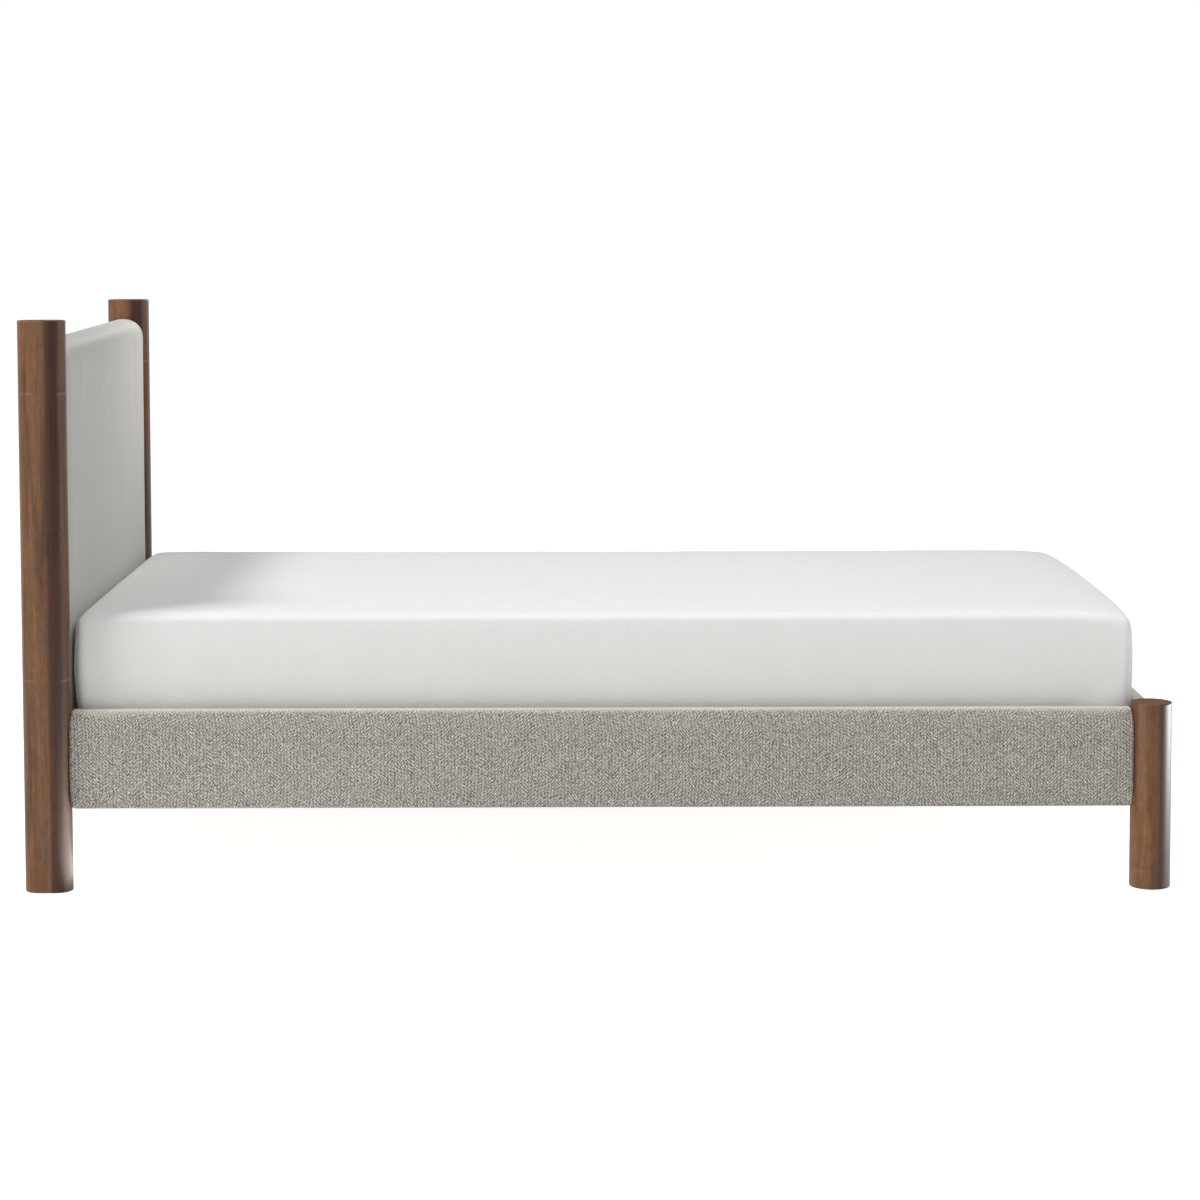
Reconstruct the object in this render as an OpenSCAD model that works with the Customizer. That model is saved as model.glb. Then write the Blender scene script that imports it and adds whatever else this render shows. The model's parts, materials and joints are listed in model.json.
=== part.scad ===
// Upholstered platform bed with racetrack head posts, round foot posts and a mattress.
// The head of the bed is towards -X, the foot towards +X, and +Z is up.
// The origin lies on the floor under the middle of the bed. All sizes are in millimetres.

/* [Mattress] */
// Length of the mattress
mattress_length = 1910; // [1850:5:2030]
// Width of the mattress
mattress_width = 965; // [900:5:1100]
// Thickness of the mattress at its middle
mattress_thick = 203; // [160:1:260]
// Radius of the mattress corners, seen from above
mattress_corner_r = 26; // [22:1:60]
// Radius of the top edges
mattress_top_r = 14; // [10:1:24]
// Radius of the bottom edges
mattress_bottom_r = 20; // [14:1:30]
// Rise of the crowned top over its edges
mattress_crown = 3; // [1:0.5:8]
// How far the sides draw in above and below their middle
mattress_bulge = 4; // [1:0.5:8]
// Thickness of the quilted mattress cover
mattress_cover_t = 12; // [10:0.5:16]
// Thickness of the soft foam layer on top of the core
comfort_layer_t = 50; // [30:1:70]

/* [Bay for the mattress] */
// Gap between the mattress and the side and foot rails
mattress_gap = 9; // [4:0.5:20]
// Gap between the mattress and the headboard
head_gap = 0.5; // [0.4:0.1:20]
// How far the slats lie below the top of the rails
slat_recess = 38; // [30:1:60]
// Gap between the mattress and the slats
mattress_rest_gap = 0.3; // [0.2:0.1:0.5]

/* [Posts] */
// Height of the top of the head posts above the floor
head_post_h = 1025.5; // [900:0.5:1200]
// Length of the head post's racetrack section, along the bed
head_post_depth = 85.5; // [76:0.5:100]
// Width of the head post's racetrack section, across the bed
head_post_w = 56; // [50:0.5:66]
// Height of the top of the foot posts above the floor
foot_post_h = 336.5; // [330:0.5:420]
// Diameter of the round foot posts
foot_post_d = 73.2; // [66:0.2:84]
// How far the posts stand out past the faces of the rails
post_proud = 24; // [18:0.5:30]
// Radius on the end edges of the posts
post_edge_r = 2; // [1:0.5:4]
// Depth of the seats milled in the posts for the rail ends
seat_depth = 5; // [4:0.25:7]

/* [Rails] */
// Height of the rails
rail_h = 179; // [160:1:200]
// Height of the underside of the rails above the floor
rail_z = 148; // [110:1:180]
// Thickness of the padded rails
rail_thick = 32; // [30:0.5:36]
// Thickness of padding and fabric over the rail's faces and edges
rail_pad_t = 5; // [4:0.25:6]
// Thickness of the fabric folded over the ends of a rail
rail_end_t = 2; // [1:0.25:3]
// Radius on the long edges of the padded rails
rail_edge_r = 8; // [6:0.5:11]
// Length of the soft rounding at the corners of a rail's ends
rail_end_round_x = 8; // [6:0.5:10]
// Height of the soft rounding at the corners of a rail's ends
rail_end_round_z = 46; // [30:1:60]
// Radius on the corners of the board inside a rail
core_corner_r = 20; // [14:1:26]
// Gap between a rail's end and its seat in the post
seat_clear = 0.2; // [0.1:0.05:0.4]

/* [Headboard] */
// How far the top of the headboard lies below the top of the head posts
panel_drop = 40; // [20:1:80]
// How far the headboard's front face lies behind the fronts of the posts
panel_setback = 2; // [0:0.5:6]
// Thickness of the headboard's fabric
panel_cover_t = 2.5; // [1.5:0.25:3.5]
// Thickness of the headboard's foam
panel_foam_t = 25; // [15:1:35]
// Thickness of the board behind the foam
face_board_t = 5; // [4:0.5:9]
// Depth of the headboard's wooden frame
frame_depth = 40; // [34:1:45]
// Thickness of the cloth that closes the headboard's back
back_cloth_t = 1.5; // [1:0.25:2]
// Width of the headboard frame's upright stiles
stile_w = 50; // [44:1:70]
// Height of the headboard frame's rails
frame_rail_h = 60; // [50:1:80]
// Depth of the foam over the top of the frame
top_foam_t = 16; // [14:1:24]
// Depth of the crown's rounding from its peak to the front face
crown_front = 45; // [35:1:50]
// Height of the crown's rounding at the front
crown_front_h = 80; // [50:1:110]
// Height of the crown's rounding at the back
crown_back_h = 30; // [20:1:45]
// Radius on the front corners beside the posts
panel_side_r = 7; // [4:0.5:10]
// Gap between the headboard and each head post
panel_fit = 0.3; // [0.2:0.05:0.6]

/* [Slats] */
// Number of slats
slat_count = 13; // [9:1:15]
// Width of a slat
slat_w = 90; // [60:1:100]
// Thickness of a slat
slat_t = 18; // [15:1:22]
// Radius on the edges of a slat
slat_edge_r = 3; // [1:0.5:5]
// Gap between a slat's end and the rail
slat_end_gap = 2; // [1:0.5:5]
// Distance from the mattress's head and foot to the first and last slat
slat_inset = 10; // [8:1:40]
// Height of the cleats that carry the slats
cleat_h = 40; // [30:1:50]
// Width of the cleats
cleat_w = 24; // [20:1:30]
// Width of the straps that space the slats
strap_w = 25; // [20:1:40]
// Thickness of the straps
strap_t = 1.5; // [1:0.25:2]
// Distance from a rail's inner face to the middle of the nearer strap
strap_inset = 170; // [100:5:300]

/* [Hardware] */
// Diameter of the hanger bolts
bolt_d = 6; // [5:0.5:8]
// Length of a hanger bolt inside its post
bolt_in_post = 34; // [28:1:38]
// Diameter of the round pockets for the nuts
pocket_d = 30; // [28:1:34]
// Distance from a rail's seat to the centre of its nut pocket
pocket_set = 47; // [42:1:60]
// Distance of the side rail's bolts from the rail's edges
bolt_inset = 45; // [40:1:55]
// How much nearer to the middle the foot rail's bolts sit, so that bolts don't meet in a post
bolt_stagger = 20; // [15:1:25]
// Thickness of the crescent washers
washer_t = 6; // [4:0.5:7]
// Width of the crescent washers, across the rail
washer_w = 14; // [12:0.5:15]
// Height of the crescent washers, up the rail
washer_h = 22; // [18:0.5:24]
// Thickness of the nuts
nut_t = 5; // [4:0.5:6]
// Size across the flats of the nuts
nut_af = 10; // [9:0.5:11]
// Diameter of the wooden dowels
dowel_d = 8; // [6:0.5:10]
// Length of the wooden dowels
dowel_len = 30; // [24:1:36]
// Diameter of the wood screws
screw_d = 4.5; // [4:0.25:5]
// Diameter of the screws that hold the headboard to the posts
panel_screw_d = 6; // [5:0.5:8]
// How far those screws reach into a post
panel_screw_reach = 26; // [20:1:32]
// Extra diameter of a hole over what it holds
hole_fit = 0.2; // [0.1:0.05:0.3]
// Diameter of the floor glides
glide_d = 30; // [24:1:36]
// Thickness of the floor glides
glide_t = 4; // [3:0.5:6]
// How far the glides stand out below the posts
glide_proud = 1.5; // [1:0.25:2]

/* [Hidden] */
$fn = 64;
eps = 0.1;
through = 200;
LEFT = -1;
RIGHT = 1;
SIDES = [LEFT, RIGHT];

wood_color = "#6e4b34";
boucle_color = "#b1ada4";
panel_color = "#c6c7c3";
mattress_color = "#e8e8e6";
foam_color = "#e9dfb8";
pine_color = "#d3b184";
steel_color = "#b9bcc0";
cloth_color = "#bdbdb9";
strap_color = "#8f8f8c";
glide_color = "#3a3a3a";

// Overall size, worked out from the mattress outwards
bed_len = head_post_depth - panel_setback + head_gap + mattress_length + mattress_gap
    + rail_thick + post_proud;
bed_w = mattress_width + 2 * (mattress_gap + rail_thick + post_proud);

// Places along the bed
head_x = -bed_len / 2;
head_post_x = head_x + head_post_depth / 2;
head_post_front_x = head_x + head_post_depth;
panel_front_x = head_post_front_x - panel_setback;
mattress_head_x = panel_front_x + head_gap;
mattress_foot_x = mattress_head_x + mattress_length;
foot_rail_inner_x = mattress_foot_x + mattress_gap;
foot_rail_mid_x = foot_rail_inner_x + rail_thick / 2;
foot_post_x = bed_len / 2 - foot_post_d / 2;
head_seat_x = head_post_front_x - seat_depth;
foot_seat_x = foot_post_x - foot_post_d / 2 + seat_depth;

// Places across the bed
rail_inner_y = mattress_width / 2 + mattress_gap;
rail_mid_y = rail_inner_y + rail_thick / 2;
head_post_y = bed_w / 2 - head_post_w / 2;
head_post_inner_y = bed_w / 2 - head_post_w;
foot_post_y = bed_w / 2 - foot_post_d / 2;
foot_seat_y = foot_post_y - foot_post_d / 2 + seat_depth;

// Heights
rail_top_z = rail_z + rail_h;
slat_top_z = rail_top_z - slat_recess;
slat_bottom_z = slat_top_z - slat_t;
mattress_z = slat_top_z + mattress_rest_gap;

// Rail lengths between the seats of their posts, and the boards inside
side_rail_len = foot_seat_x - head_seat_x - 2 * seat_clear;
foot_rail_len = 2 * (foot_seat_y - seat_clear);
core_t = rail_thick - 2 * rail_pad_t;
core_h = rail_h - 2 * rail_pad_t;

// Rail joint hardware
side_bolt_heights = [bolt_inset, rail_h - bolt_inset];
foot_bolt_heights = [bolt_inset + bolt_stagger, rail_h - bolt_inset - bolt_stagger];
pocket_spare = 1;
pocket_depth = core_t / 2 + washer_w / 2 + pocket_spare;
washer_x = pocket_set - pocket_d / 2;
bolt_spare = 2;
bolt_end_x = washer_x + washer_t + nut_t + bolt_spare;

// Headboard layers, from the front face to the back
panel_t = panel_cover_t + panel_foam_t + face_board_t + frame_depth + back_cloth_t;
panel_back_x = panel_front_x - panel_t;
panel_half_w = head_post_inner_y - panel_fit;
panel_top_z = head_post_h - panel_drop;
panel_inner_half_w = panel_half_w - panel_cover_t;
frame_bottom_z = rail_z + panel_cover_t;
frame_top_z = panel_top_z - panel_cover_t - top_foam_t;
frame_back_x = panel_back_x + back_cloth_t;
frame_front_x = frame_back_x + frame_depth;
frame_mid_x = (frame_back_x + frame_front_x) / 2;
crown_peak_x = panel_front_x - crown_front;
frame_mid_z = (frame_bottom_z + frame_top_z) / 2;
stile_inner_y = panel_inner_half_w - stile_w;
frame_rail_zs = [frame_bottom_z, frame_mid_z - frame_rail_h / 2, frame_top_z - frame_rail_h];
panel_screw_offset = 40;
panel_screw_zs = [
    frame_rail_zs[0] + frame_rail_h + panel_screw_offset,
    frame_rail_zs[1] - panel_screw_offset,
    frame_rail_zs[1] + frame_rail_h + panel_screw_offset,
    frame_rail_zs[2] - panel_screw_offset
];
panel_screw_head_d = 12;
panel_screw_head_t = 4;
panel_screw_sink = 20;

// Slat bed
slat_first_x = mattress_head_x + slat_inset + slat_w / 2;
slat_last_x = mattress_foot_x - slat_inset - slat_w / 2;
slat_pitch = (slat_last_x - slat_first_x) / (slat_count - 1);
cleat_end_gap = 5;
cleat_head_x = mattress_head_x + cleat_end_gap;
cleat_foot_x = foot_seat_x - seat_depth - cleat_end_gap;
cleat_screw_count = 7;
cleat_screw_inset = 100;
cleat_screw_z = slat_bottom_z - cleat_h / 2;
cleat_screw_bite = 14;
slat_screw_bite = 24;
strap_y = rail_inner_y - strap_inset;
screw_head_d = 2 * screw_d;
screw_head_t = 3;

// Floor glides
glide_pin_d = 8;
glide_pin_len = 20;

// Steps on the curved outlines
crown_steps = 14;
end_round_steps = 8;
mattress_corner_steps = 6;
mattress_edge_steps = 5;
mattress_side_steps = 4;
mattress_crown_steps = 5;

function slat_x(i) = slat_first_x + (i - 1) * slat_pitch;
function two_digits(i) = i < 10 ? str("0", i) : str(i);
function slat_name(i) = str("slat_", two_digits(i));
function side_name(side) = side == LEFT ? "left" : "right";
function cleat_screw_x(i) = cleat_head_x + cleat_screw_inset
    + i * (cleat_foot_x - cleat_head_x - 2 * cleat_screw_inset) / (cleat_screw_count - 1);

// One quarter of a superellipse from (a, 0) to (0, b)
function superellipse_quarter(a, b, p, q, steps) = [
    for (i = [0:steps]) let (t = 90 * i / steps)
        [a * pow(cos(t), 2 / p), b * pow(sin(t), 2 / q)]
];

// General shapes

// Mirrors a piece that is drawn on the right-hand side
module at_side(side) {
    mirror([0, side == LEFT ? 1 : 0, 0]) children();
}

// Half of a bar's section with rounded ends, to revolve
module bar_profile(r, h, edge_r) {
    square([r - edge_r, h]);
    translate([0, edge_r]) square([r, h - 2 * edge_r]);
    for (z = [edge_r, h - edge_r])
        translate([r - edge_r, z]) circle(edge_r);
}

// Rectangle with rounded corners, centred
module rounded_rect(size, r) {
    square([size.x - 2 * r, size.y], center = true);
    square([size.x, size.y - 2 * r], center = true);
    for (x = [-1, 1], y = [-1, 1])
        translate([x * (size.x / 2 - r), y * (size.y / 2 - r)]) circle(r);
}

// Rectangle with soft elliptical corners, centred, for the long outline of a rail
module soft_rect(size, rx, ry) {
    corner = superellipse_quarter(rx, ry, 2, 2, end_round_steps);
    quarter = [for (p = corner) [size.x / 2 - rx + p.x, size.y / 2 - ry + p.y]];
    turned = [for (i = [len(quarter) - 1:-1:0]) quarter[i]];
    polygon(concat(
        quarter,
        [for (p = turned) [-p.x, p.y]],
        [for (p = quarter) [-p.x, -p.y]],
        [for (p = turned) [p.x, -p.y]]
    ));
}

// Extrudes an outline drawn in X and Z through a width in Y, centred
module across(width) {
    rotate([90, 0, 0]) linear_extrude(height = width, center = true) children();
}

// Extrudes an outline drawn in Y and Z through a length in X, centred
module along(length) {
    rotate([90, 0, 90]) linear_extrude(height = length, center = true) children();
}

// Box with a radius on the edges of each direction, centred
module soft_block(size, plan_r, side_r, end_r) {
    intersection() {
        linear_extrude(height = size.z, center = true) rounded_rect([size.x, size.y], plan_r);
        across(size.y) rounded_rect([size.x, size.z], side_r);
        along(size.x) rounded_rect([size.y, size.z], end_r);
    }
}

// Post blanks

// Racetrack bar: two round bars with a straight one between them
module racetrack_bar(depth, width, h, edge_r) {
    straight = depth - width;
    for (x = [-straight / 2, straight / 2])
        translate([x, 0, 0]) rotate_extrude() bar_profile(width / 2, h, edge_r);
    translate([0, 0, h / 2]) along(straight) rounded_rect([width, h], edge_r);
}

module head_post_blank() {
    translate([head_post_x, head_post_y, glide_proud])
        racetrack_bar(head_post_depth, head_post_w, head_post_h - glide_proud, post_edge_r);
}

module foot_post_blank() {
    translate([foot_post_x, foot_post_y, glide_proud])
        rotate_extrude() bar_profile(foot_post_d / 2, foot_post_h - glide_proud, post_edge_r);
}

// Rail joint: each frame has +X running from the post's seat into the rail and -Y to the bed

module at_head_joint(side) {
    at_side(side) translate([head_seat_x, rail_mid_y, rail_z]) children();
}

module at_foot_joint(side) {
    at_side(side) translate([foot_seat_x, rail_mid_y, rail_z]) mirror([1, 0, 0]) children();
}

module at_foot_rail_joint(side) {
    at_side(side) translate([foot_rail_mid_x, foot_seat_y, rail_z]) rotate([0, 0, -90]) children();
}

module joint_rod(d, start_x, end_x, z) {
    translate([start_x, 0, z]) rotate([0, 90, 0]) cylinder(d = d, h = end_x - start_x);
}

module joint_dowel() {
    joint_rod(dowel_d, -dowel_len / 2, dowel_len / 2, rail_h / 2);
}

// Holes for the bolts and the dowel, the same in post, fabric and board
module joint_bores(heights) {
    for (z = heights) joint_rod(bolt_d + hole_fit, -bolt_in_post - hole_fit, pocket_set, z);
    joint_rod(dowel_d + hole_fit, -dowel_len / 2 - hole_fit, dowel_len / 2 + hole_fit, rail_h / 2);
}

// Round pockets bored from the bed's side for the nuts
module joint_pockets(heights) {
    for (z = heights)
        translate([pocket_set, pocket_depth - core_t / 2, z]) rotate([90, 0, 0])
            cylinder(d = pocket_d, h = pocket_depth + rail_thick);
}

// Crescent washer: a slice of a round bar that fits the pocket's wall
module crescent_washer() {
    difference() {
        intersection() {
            translate([pocket_set, 0, 0]) rotate([90, 0, 0])
                cylinder(d = pocket_d - hole_fit, h = washer_w, center = true);
            translate([washer_x, -washer_w, -washer_h / 2])
                cube([washer_t, 2 * washer_w, washer_h]);
        }
        joint_rod(bolt_d + hole_fit, 0, pocket_set, 0);
    }
}

module rail_nut() {
    difference() {
        translate([washer_x + washer_t, 0, 0]) rotate([0, 90, 0])
            cylinder(d = nut_af / cos(30), h = nut_t, $fn = 6);
        joint_rod(bolt_d + hole_fit, 0, pocket_set, 0);
    }
}

// Places its children at every rail joint, once for each bolt
module at_each_bolt() {
    for (side = SIDES) {
        for (z = side_bolt_heights) {
            at_head_joint(side) translate([0, 0, z]) children();
            at_foot_joint(side) translate([0, 0, z]) children();
        }
        for (z = foot_bolt_heights)
            at_foot_rail_joint(side) translate([0, 0, z]) children();
    }
}

module hanger_bolts() {
    color(steel_color) at_each_bolt() joint_rod(bolt_d, -bolt_in_post, bolt_end_x, 0);
}

module crescent_washers() {
    color(steel_color) at_each_bolt() crescent_washer();
}

module rail_nuts() {
    color(steel_color) at_each_bolt() rail_nut();
}

module rail_dowels() {
    color(pine_color) for (side = SIDES) {
        at_head_joint(side) joint_dowel();
        at_foot_joint(side) joint_dowel();
        at_foot_rail_joint(side) joint_dowel();
    }
}

// Space that the padded end of a side rail takes in the posts
module side_rail_seat() {
    translate([(head_seat_x + foot_seat_x) / 2, rail_mid_y, rail_z + rail_h / 2])
        across(through) soft_rect([foot_seat_x - head_seat_x, rail_h + 2 * seat_clear],
            rail_end_round_x, rail_end_round_z);
}

// Space that the padded ends of the foot rail take in the foot posts
module foot_rail_seat() {
    translate([foot_rail_mid_x, 0, rail_z + rail_h / 2])
        along(through) soft_rect([2 * foot_seat_y, rail_h + 2 * seat_clear],
            rail_end_round_x, rail_end_round_z);
}

module glide_shape(grow) {
    rotate_extrude() {
        square([(glide_d + grow) / 2, glide_t]);
        square([(glide_pin_d + grow) / 2, glide_t + glide_pin_len + grow / 2]);
    }
}

module head_post(side) {
    color(wood_color) difference() {
        at_side(side) head_post_blank();
        at_side(side) side_rail_seat();
        at_head_joint(side) joint_bores(side_bolt_heights);
        at_side(side) panel_screw_bores();
        at_side(side) translate([head_post_x, head_post_y, 0]) glide_shape(hole_fit);
    }
}

module foot_post(side) {
    color(wood_color) difference() {
        at_side(side) foot_post_blank();
        at_side(side) side_rail_seat();
        foot_rail_seat();
        at_foot_joint(side) joint_bores(side_bolt_heights);
        at_foot_rail_joint(side) joint_bores(foot_bolt_heights);
        at_side(side) translate([foot_post_x, foot_post_y, 0]) glide_shape(hole_fit);
    }
}

module head_glide(side) {
    color(glide_color) at_side(side) translate([head_post_x, head_post_y, 0]) glide_shape(0);
}

module foot_glide(side) {
    color(glide_color) at_side(side) translate([foot_post_x, foot_post_y, 0]) glide_shape(0);
}

// Rails: a plywood board inside a padded fabric cover

// Padded rail, centred, drawn along X
module padded_rail(length) {
    intersection() {
        across(rail_thick) soft_rect([length, rail_h], rail_end_round_x, rail_end_round_z);
        along(length) rounded_rect([rail_thick, rail_h], rail_edge_r);
        linear_extrude(height = rail_h, center = true)
            rounded_rect([length, rail_thick], rail_edge_r / 2);
    }
}

// Board inside a rail, centred, drawn along X
module rail_board(length) {
    across(core_t) rounded_rect([length - 2 * rail_end_t, core_h], core_corner_r);
}

module at_side_rail(side) {
    at_side(side) translate([(head_seat_x + foot_seat_x) / 2, rail_mid_y, rail_z + rail_h / 2])
        children();
}

module at_foot_rail() {
    translate([foot_rail_mid_x, 0, rail_z + rail_h / 2]) rotate([0, 0, 90]) children();
}

module side_rail_machining(side) {
    at_head_joint(side) {
        joint_bores(side_bolt_heights);
        joint_pockets(side_bolt_heights);
    }
    at_foot_joint(side) {
        joint_bores(side_bolt_heights);
        joint_pockets(side_bolt_heights);
    }
    at_side(side) cleat_screw_bores();
}

module foot_rail_machining() {
    for (side = SIDES) at_foot_rail_joint(side) {
        joint_bores(foot_bolt_heights);
        joint_pockets(foot_bolt_heights);
    }
}

module side_rail_core(side) {
    color(pine_color) difference() {
        at_side_rail(side) rail_board(side_rail_len);
        side_rail_machining(side);
    }
}

module side_rail_cover(side) {
    color(boucle_color) difference() {
        at_side_rail(side) padded_rail(side_rail_len);
        at_side_rail(side) rail_board(side_rail_len);
        side_rail_machining(side);
    }
}

module foot_rail_core() {
    color(pine_color) difference() {
        at_foot_rail() rail_board(foot_rail_len);
        foot_rail_machining();
    }
}

module foot_rail_cover() {
    color(boucle_color) difference() {
        at_foot_rail() padded_rail(foot_rail_len);
        at_foot_rail() rail_board(foot_rail_len);
        foot_rail_machining();
    }
}

// Headboard

// Side outline of the headboard, drawn in X and Z, drawn in by an inset all round
module panel_outline(inset) {
    front = superellipse_quarter(crown_front - inset, crown_front_h - inset, 2.5, 4, crown_steps);
    back_w = crown_peak_x - panel_back_x - inset;
    back = superellipse_quarter(back_w, crown_back_h - inset, 2.5, 4, crown_steps);
    top = panel_top_z - inset;
    polygon(concat(
        [[panel_front_x - inset, rail_z + inset]],
        [for (p = front) [crown_peak_x + p.x, top - (crown_front_h - inset) + p.y]],
        [for (i = [crown_steps - 1:-1:0])
            [crown_peak_x - back[i].x, top - (crown_back_h - inset) + back[i].y]],
        [[panel_back_x + inset, rail_z + inset]]
    ));
}

// Space taken by the wooden frame and its face board
module panel_frame_space() {
    translate([frame_back_x, -panel_inner_half_w, frame_bottom_z])
        cube([frame_depth + face_board_t, 2 * panel_inner_half_w, frame_top_z - frame_bottom_z]);
}

// Opening in the back of the cover, which the back cloth closes
module panel_back_opening() {
    translate([panel_back_x - eps, -panel_inner_half_w, frame_bottom_z])
        cube([frame_mid_x - panel_back_x, 2 * panel_inner_half_w,
            frame_top_z - frame_bottom_z]);
}

module headboard_cover() {
    mid_x = (panel_front_x + panel_back_x) / 2;
    color(panel_color) difference() {
        intersection() {
            across(2 * panel_half_w) panel_outline(0);
            translate([mid_x, 0, 0]) linear_extrude(height = head_post_h)
                rounded_rect([panel_t, 2 * panel_half_w], panel_side_r);
        }
        across(2 * panel_inner_half_w) panel_outline(panel_cover_t);
        panel_back_opening();
        for (side = SIDES) at_side(side) panel_screw_bores();
    }
}

module headboard_foam() {
    color(foam_color) difference() {
        across(2 * panel_inner_half_w) panel_outline(panel_cover_t);
        panel_frame_space();
        translate([panel_back_x - eps, -panel_half_w, rail_z])
            cube([back_cloth_t + 2 * eps, 2 * panel_half_w, frame_top_z - rail_z]);
    }
}

module headboard_back_cloth() {
    color(cloth_color) translate([panel_back_x, -panel_inner_half_w, frame_bottom_z])
        cube([back_cloth_t, 2 * panel_inner_half_w, frame_top_z - frame_bottom_z]);
}

module headboard_face_board() {
    color(pine_color) translate([frame_front_x, -panel_inner_half_w, frame_bottom_z])
        cube([face_board_t, 2 * panel_inner_half_w, frame_top_z - frame_bottom_z]);
}

// Dowels between the stile and the frame's rails, two at each joint
module frame_dowels(extra_d, extra_len) {
    h = dowel_len + extra_len;
    for (z = frame_rail_zs, step = [1, 3])
        translate([frame_mid_x, stile_inner_y, z + step * frame_rail_h / 4]) rotate([90, 0, 0])
            cylinder(d = dowel_d + extra_d, h = h, center = true);
}

module headboard_stile(side) {
    color(pine_color) at_side(side) difference() {
        translate([frame_back_x, stile_inner_y, frame_bottom_z])
            cube([frame_depth, stile_w, frame_top_z - frame_bottom_z]);
        frame_dowels(hole_fit, hole_fit);
        panel_screw_bores();
    }
}

module frame_rail(z) {
    color(pine_color) difference() {
        translate([frame_back_x, -stile_inner_y, z])
            cube([frame_depth, 2 * stile_inner_y, frame_rail_h]);
        for (side = SIDES) at_side(side) frame_dowels(hole_fit, hole_fit);
    }
}

module headboard_dowels() {
    color(pine_color) for (side = SIDES) at_side(side) frame_dowels(0, 0);
}

// Screws from inside the frame's bays through the stile into the post, with sunk heads
module at_panel_screws() {
    for (z = panel_screw_zs)
        translate([frame_mid_x, stile_inner_y + panel_screw_sink, z]) rotate([-90, 0, 0])
            children();
}

panel_screw_len = head_post_inner_y + panel_screw_reach - stile_inner_y - panel_screw_sink;

module panel_screw_bores() {
    at_panel_screws() {
        cylinder(d = panel_screw_d + hole_fit, h = panel_screw_len + hole_fit);
        translate([0, 0, -panel_screw_sink - eps])
            cylinder(d = panel_screw_head_d + 2 * hole_fit, h = panel_screw_sink + eps);
    }
}

module headboard_screws() {
    color(steel_color) for (side = SIDES) at_side(side) at_panel_screws() {
        cylinder(d = panel_screw_d, h = panel_screw_len);
        translate([0, 0, -panel_screw_head_t])
            cylinder(d = panel_screw_head_d, h = panel_screw_head_t);
    }
}

// Slat bed

// Countersunk wood screw along +Z, with its head's face at the origin
module wood_screw(length, grow) {
    cylinder(d = screw_d + grow, h = length + grow);
    cylinder(d1 = screw_head_d + grow, d2 = screw_d + grow, h = screw_head_t);
}

module at_cleat_screws() {
    for (i = [0:cleat_screw_count - 1])
        translate([cleat_screw_x(i), rail_inner_y - cleat_w, cleat_screw_z]) rotate([-90, 0, 0])
            children();
}

cleat_screw_len = cleat_w + rail_pad_t + cleat_screw_bite;

module cleat_screw_bores() {
    at_cleat_screws() wood_screw(cleat_screw_len, hole_fit);
}

module cleat_screws() {
    color(steel_color) for (side = SIDES) at_side(side) at_cleat_screws()
        wood_screw(cleat_screw_len, 0);
}

module at_slat_screws() {
    for (x = [slat_x(1), slat_x(slat_count)])
        translate([x, rail_inner_y - cleat_w / 2, slat_top_z]) rotate([180, 0, 0])
            children();
}

module slat_screw_bores() {
    at_slat_screws() wood_screw(slat_t + slat_screw_bite, hole_fit);
}

module slat_screws() {
    color(steel_color) for (side = SIDES) at_side(side) at_slat_screws()
        wood_screw(slat_t + slat_screw_bite, 0);
}

module slat_cleat(side) {
    color(pine_color) at_side(side) difference() {
        translate([cleat_head_x, rail_inner_y - cleat_w, slat_bottom_z - cleat_h])
            cube([cleat_foot_x - cleat_head_x, cleat_w, cleat_h]);
        cleat_screw_bores();
        slat_screw_bores();
    }
}

module slat(i) {
    color(pine_color) difference() {
        translate([slat_x(i), 0, slat_bottom_z + slat_t / 2])
            across(2 * (rail_inner_y - slat_end_gap)) rounded_rect([slat_w, slat_t], slat_edge_r);
        for (side = SIDES) at_side(side) slat_screw_bores();
    }
}

module slat_strap(side) {
    first = slat_x(1) - slat_w / 2;
    last = slat_x(slat_count) + slat_w / 2;
    color(strap_color) at_side(side)
        translate([first, strap_y - strap_w / 2, slat_bottom_z - strap_t])
            cube([last - first, strap_w, strap_t]);
}

// Mattress

// Rings of the mattress from the bottom up: each is [inset from the widest line, height]
mattress_flat_half = 145;
mattress_ring_min_r = 10;
mattress_side_top = mattress_thick - mattress_crown - mattress_top_r;
mattress_crown_inset = mattress_width / 2 - mattress_flat_half;
mattress_rings = concat(
    [for (i = [0:mattress_edge_steps - 1]) let (t = 90 * i / mattress_edge_steps)
        [mattress_bulge + mattress_bottom_r * (1 - sin(t)), mattress_bottom_r * (1 - cos(t))]],
    [for (i = [0:mattress_side_steps]) let (s = i / mattress_side_steps)
        [mattress_bulge * pow(2 * s - 1, 2),
            mattress_bottom_r + s * (mattress_side_top - mattress_bottom_r)]],
    [for (i = [1:mattress_edge_steps + 1]) let (t = 90 * i / (mattress_edge_steps + 1))
        [mattress_bulge + mattress_top_r * (1 - cos(t)),
            mattress_side_top + mattress_top_r * sin(t)]],
    [for (i = [1:mattress_crown_steps]) let (s = i / mattress_crown_steps)
        [mattress_bulge + mattress_top_r
                + s * (mattress_crown_inset - mattress_bulge - mattress_top_r),
            mattress_thick - mattress_crown * pow(1 - s, 2)]]
);

// Points round one ring, anticlockwise from above
function mattress_ring(inset, z) =
    let (r = max(mattress_corner_r - inset, mattress_ring_min_r),
        x = mattress_length / 2 - inset - r,
        y = mattress_width / 2 - inset - r)
    [for (c = [0:3], i = [0:mattress_corner_steps])
        let (a = 90 * c + 90 * i / mattress_corner_steps,
            sx = c == 0 || c == 3 ? 1 : -1,
            sy = c < 2 ? 1 : -1)
        [sx * x + r * cos(a), sy * y + r * sin(a), z]];

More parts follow.
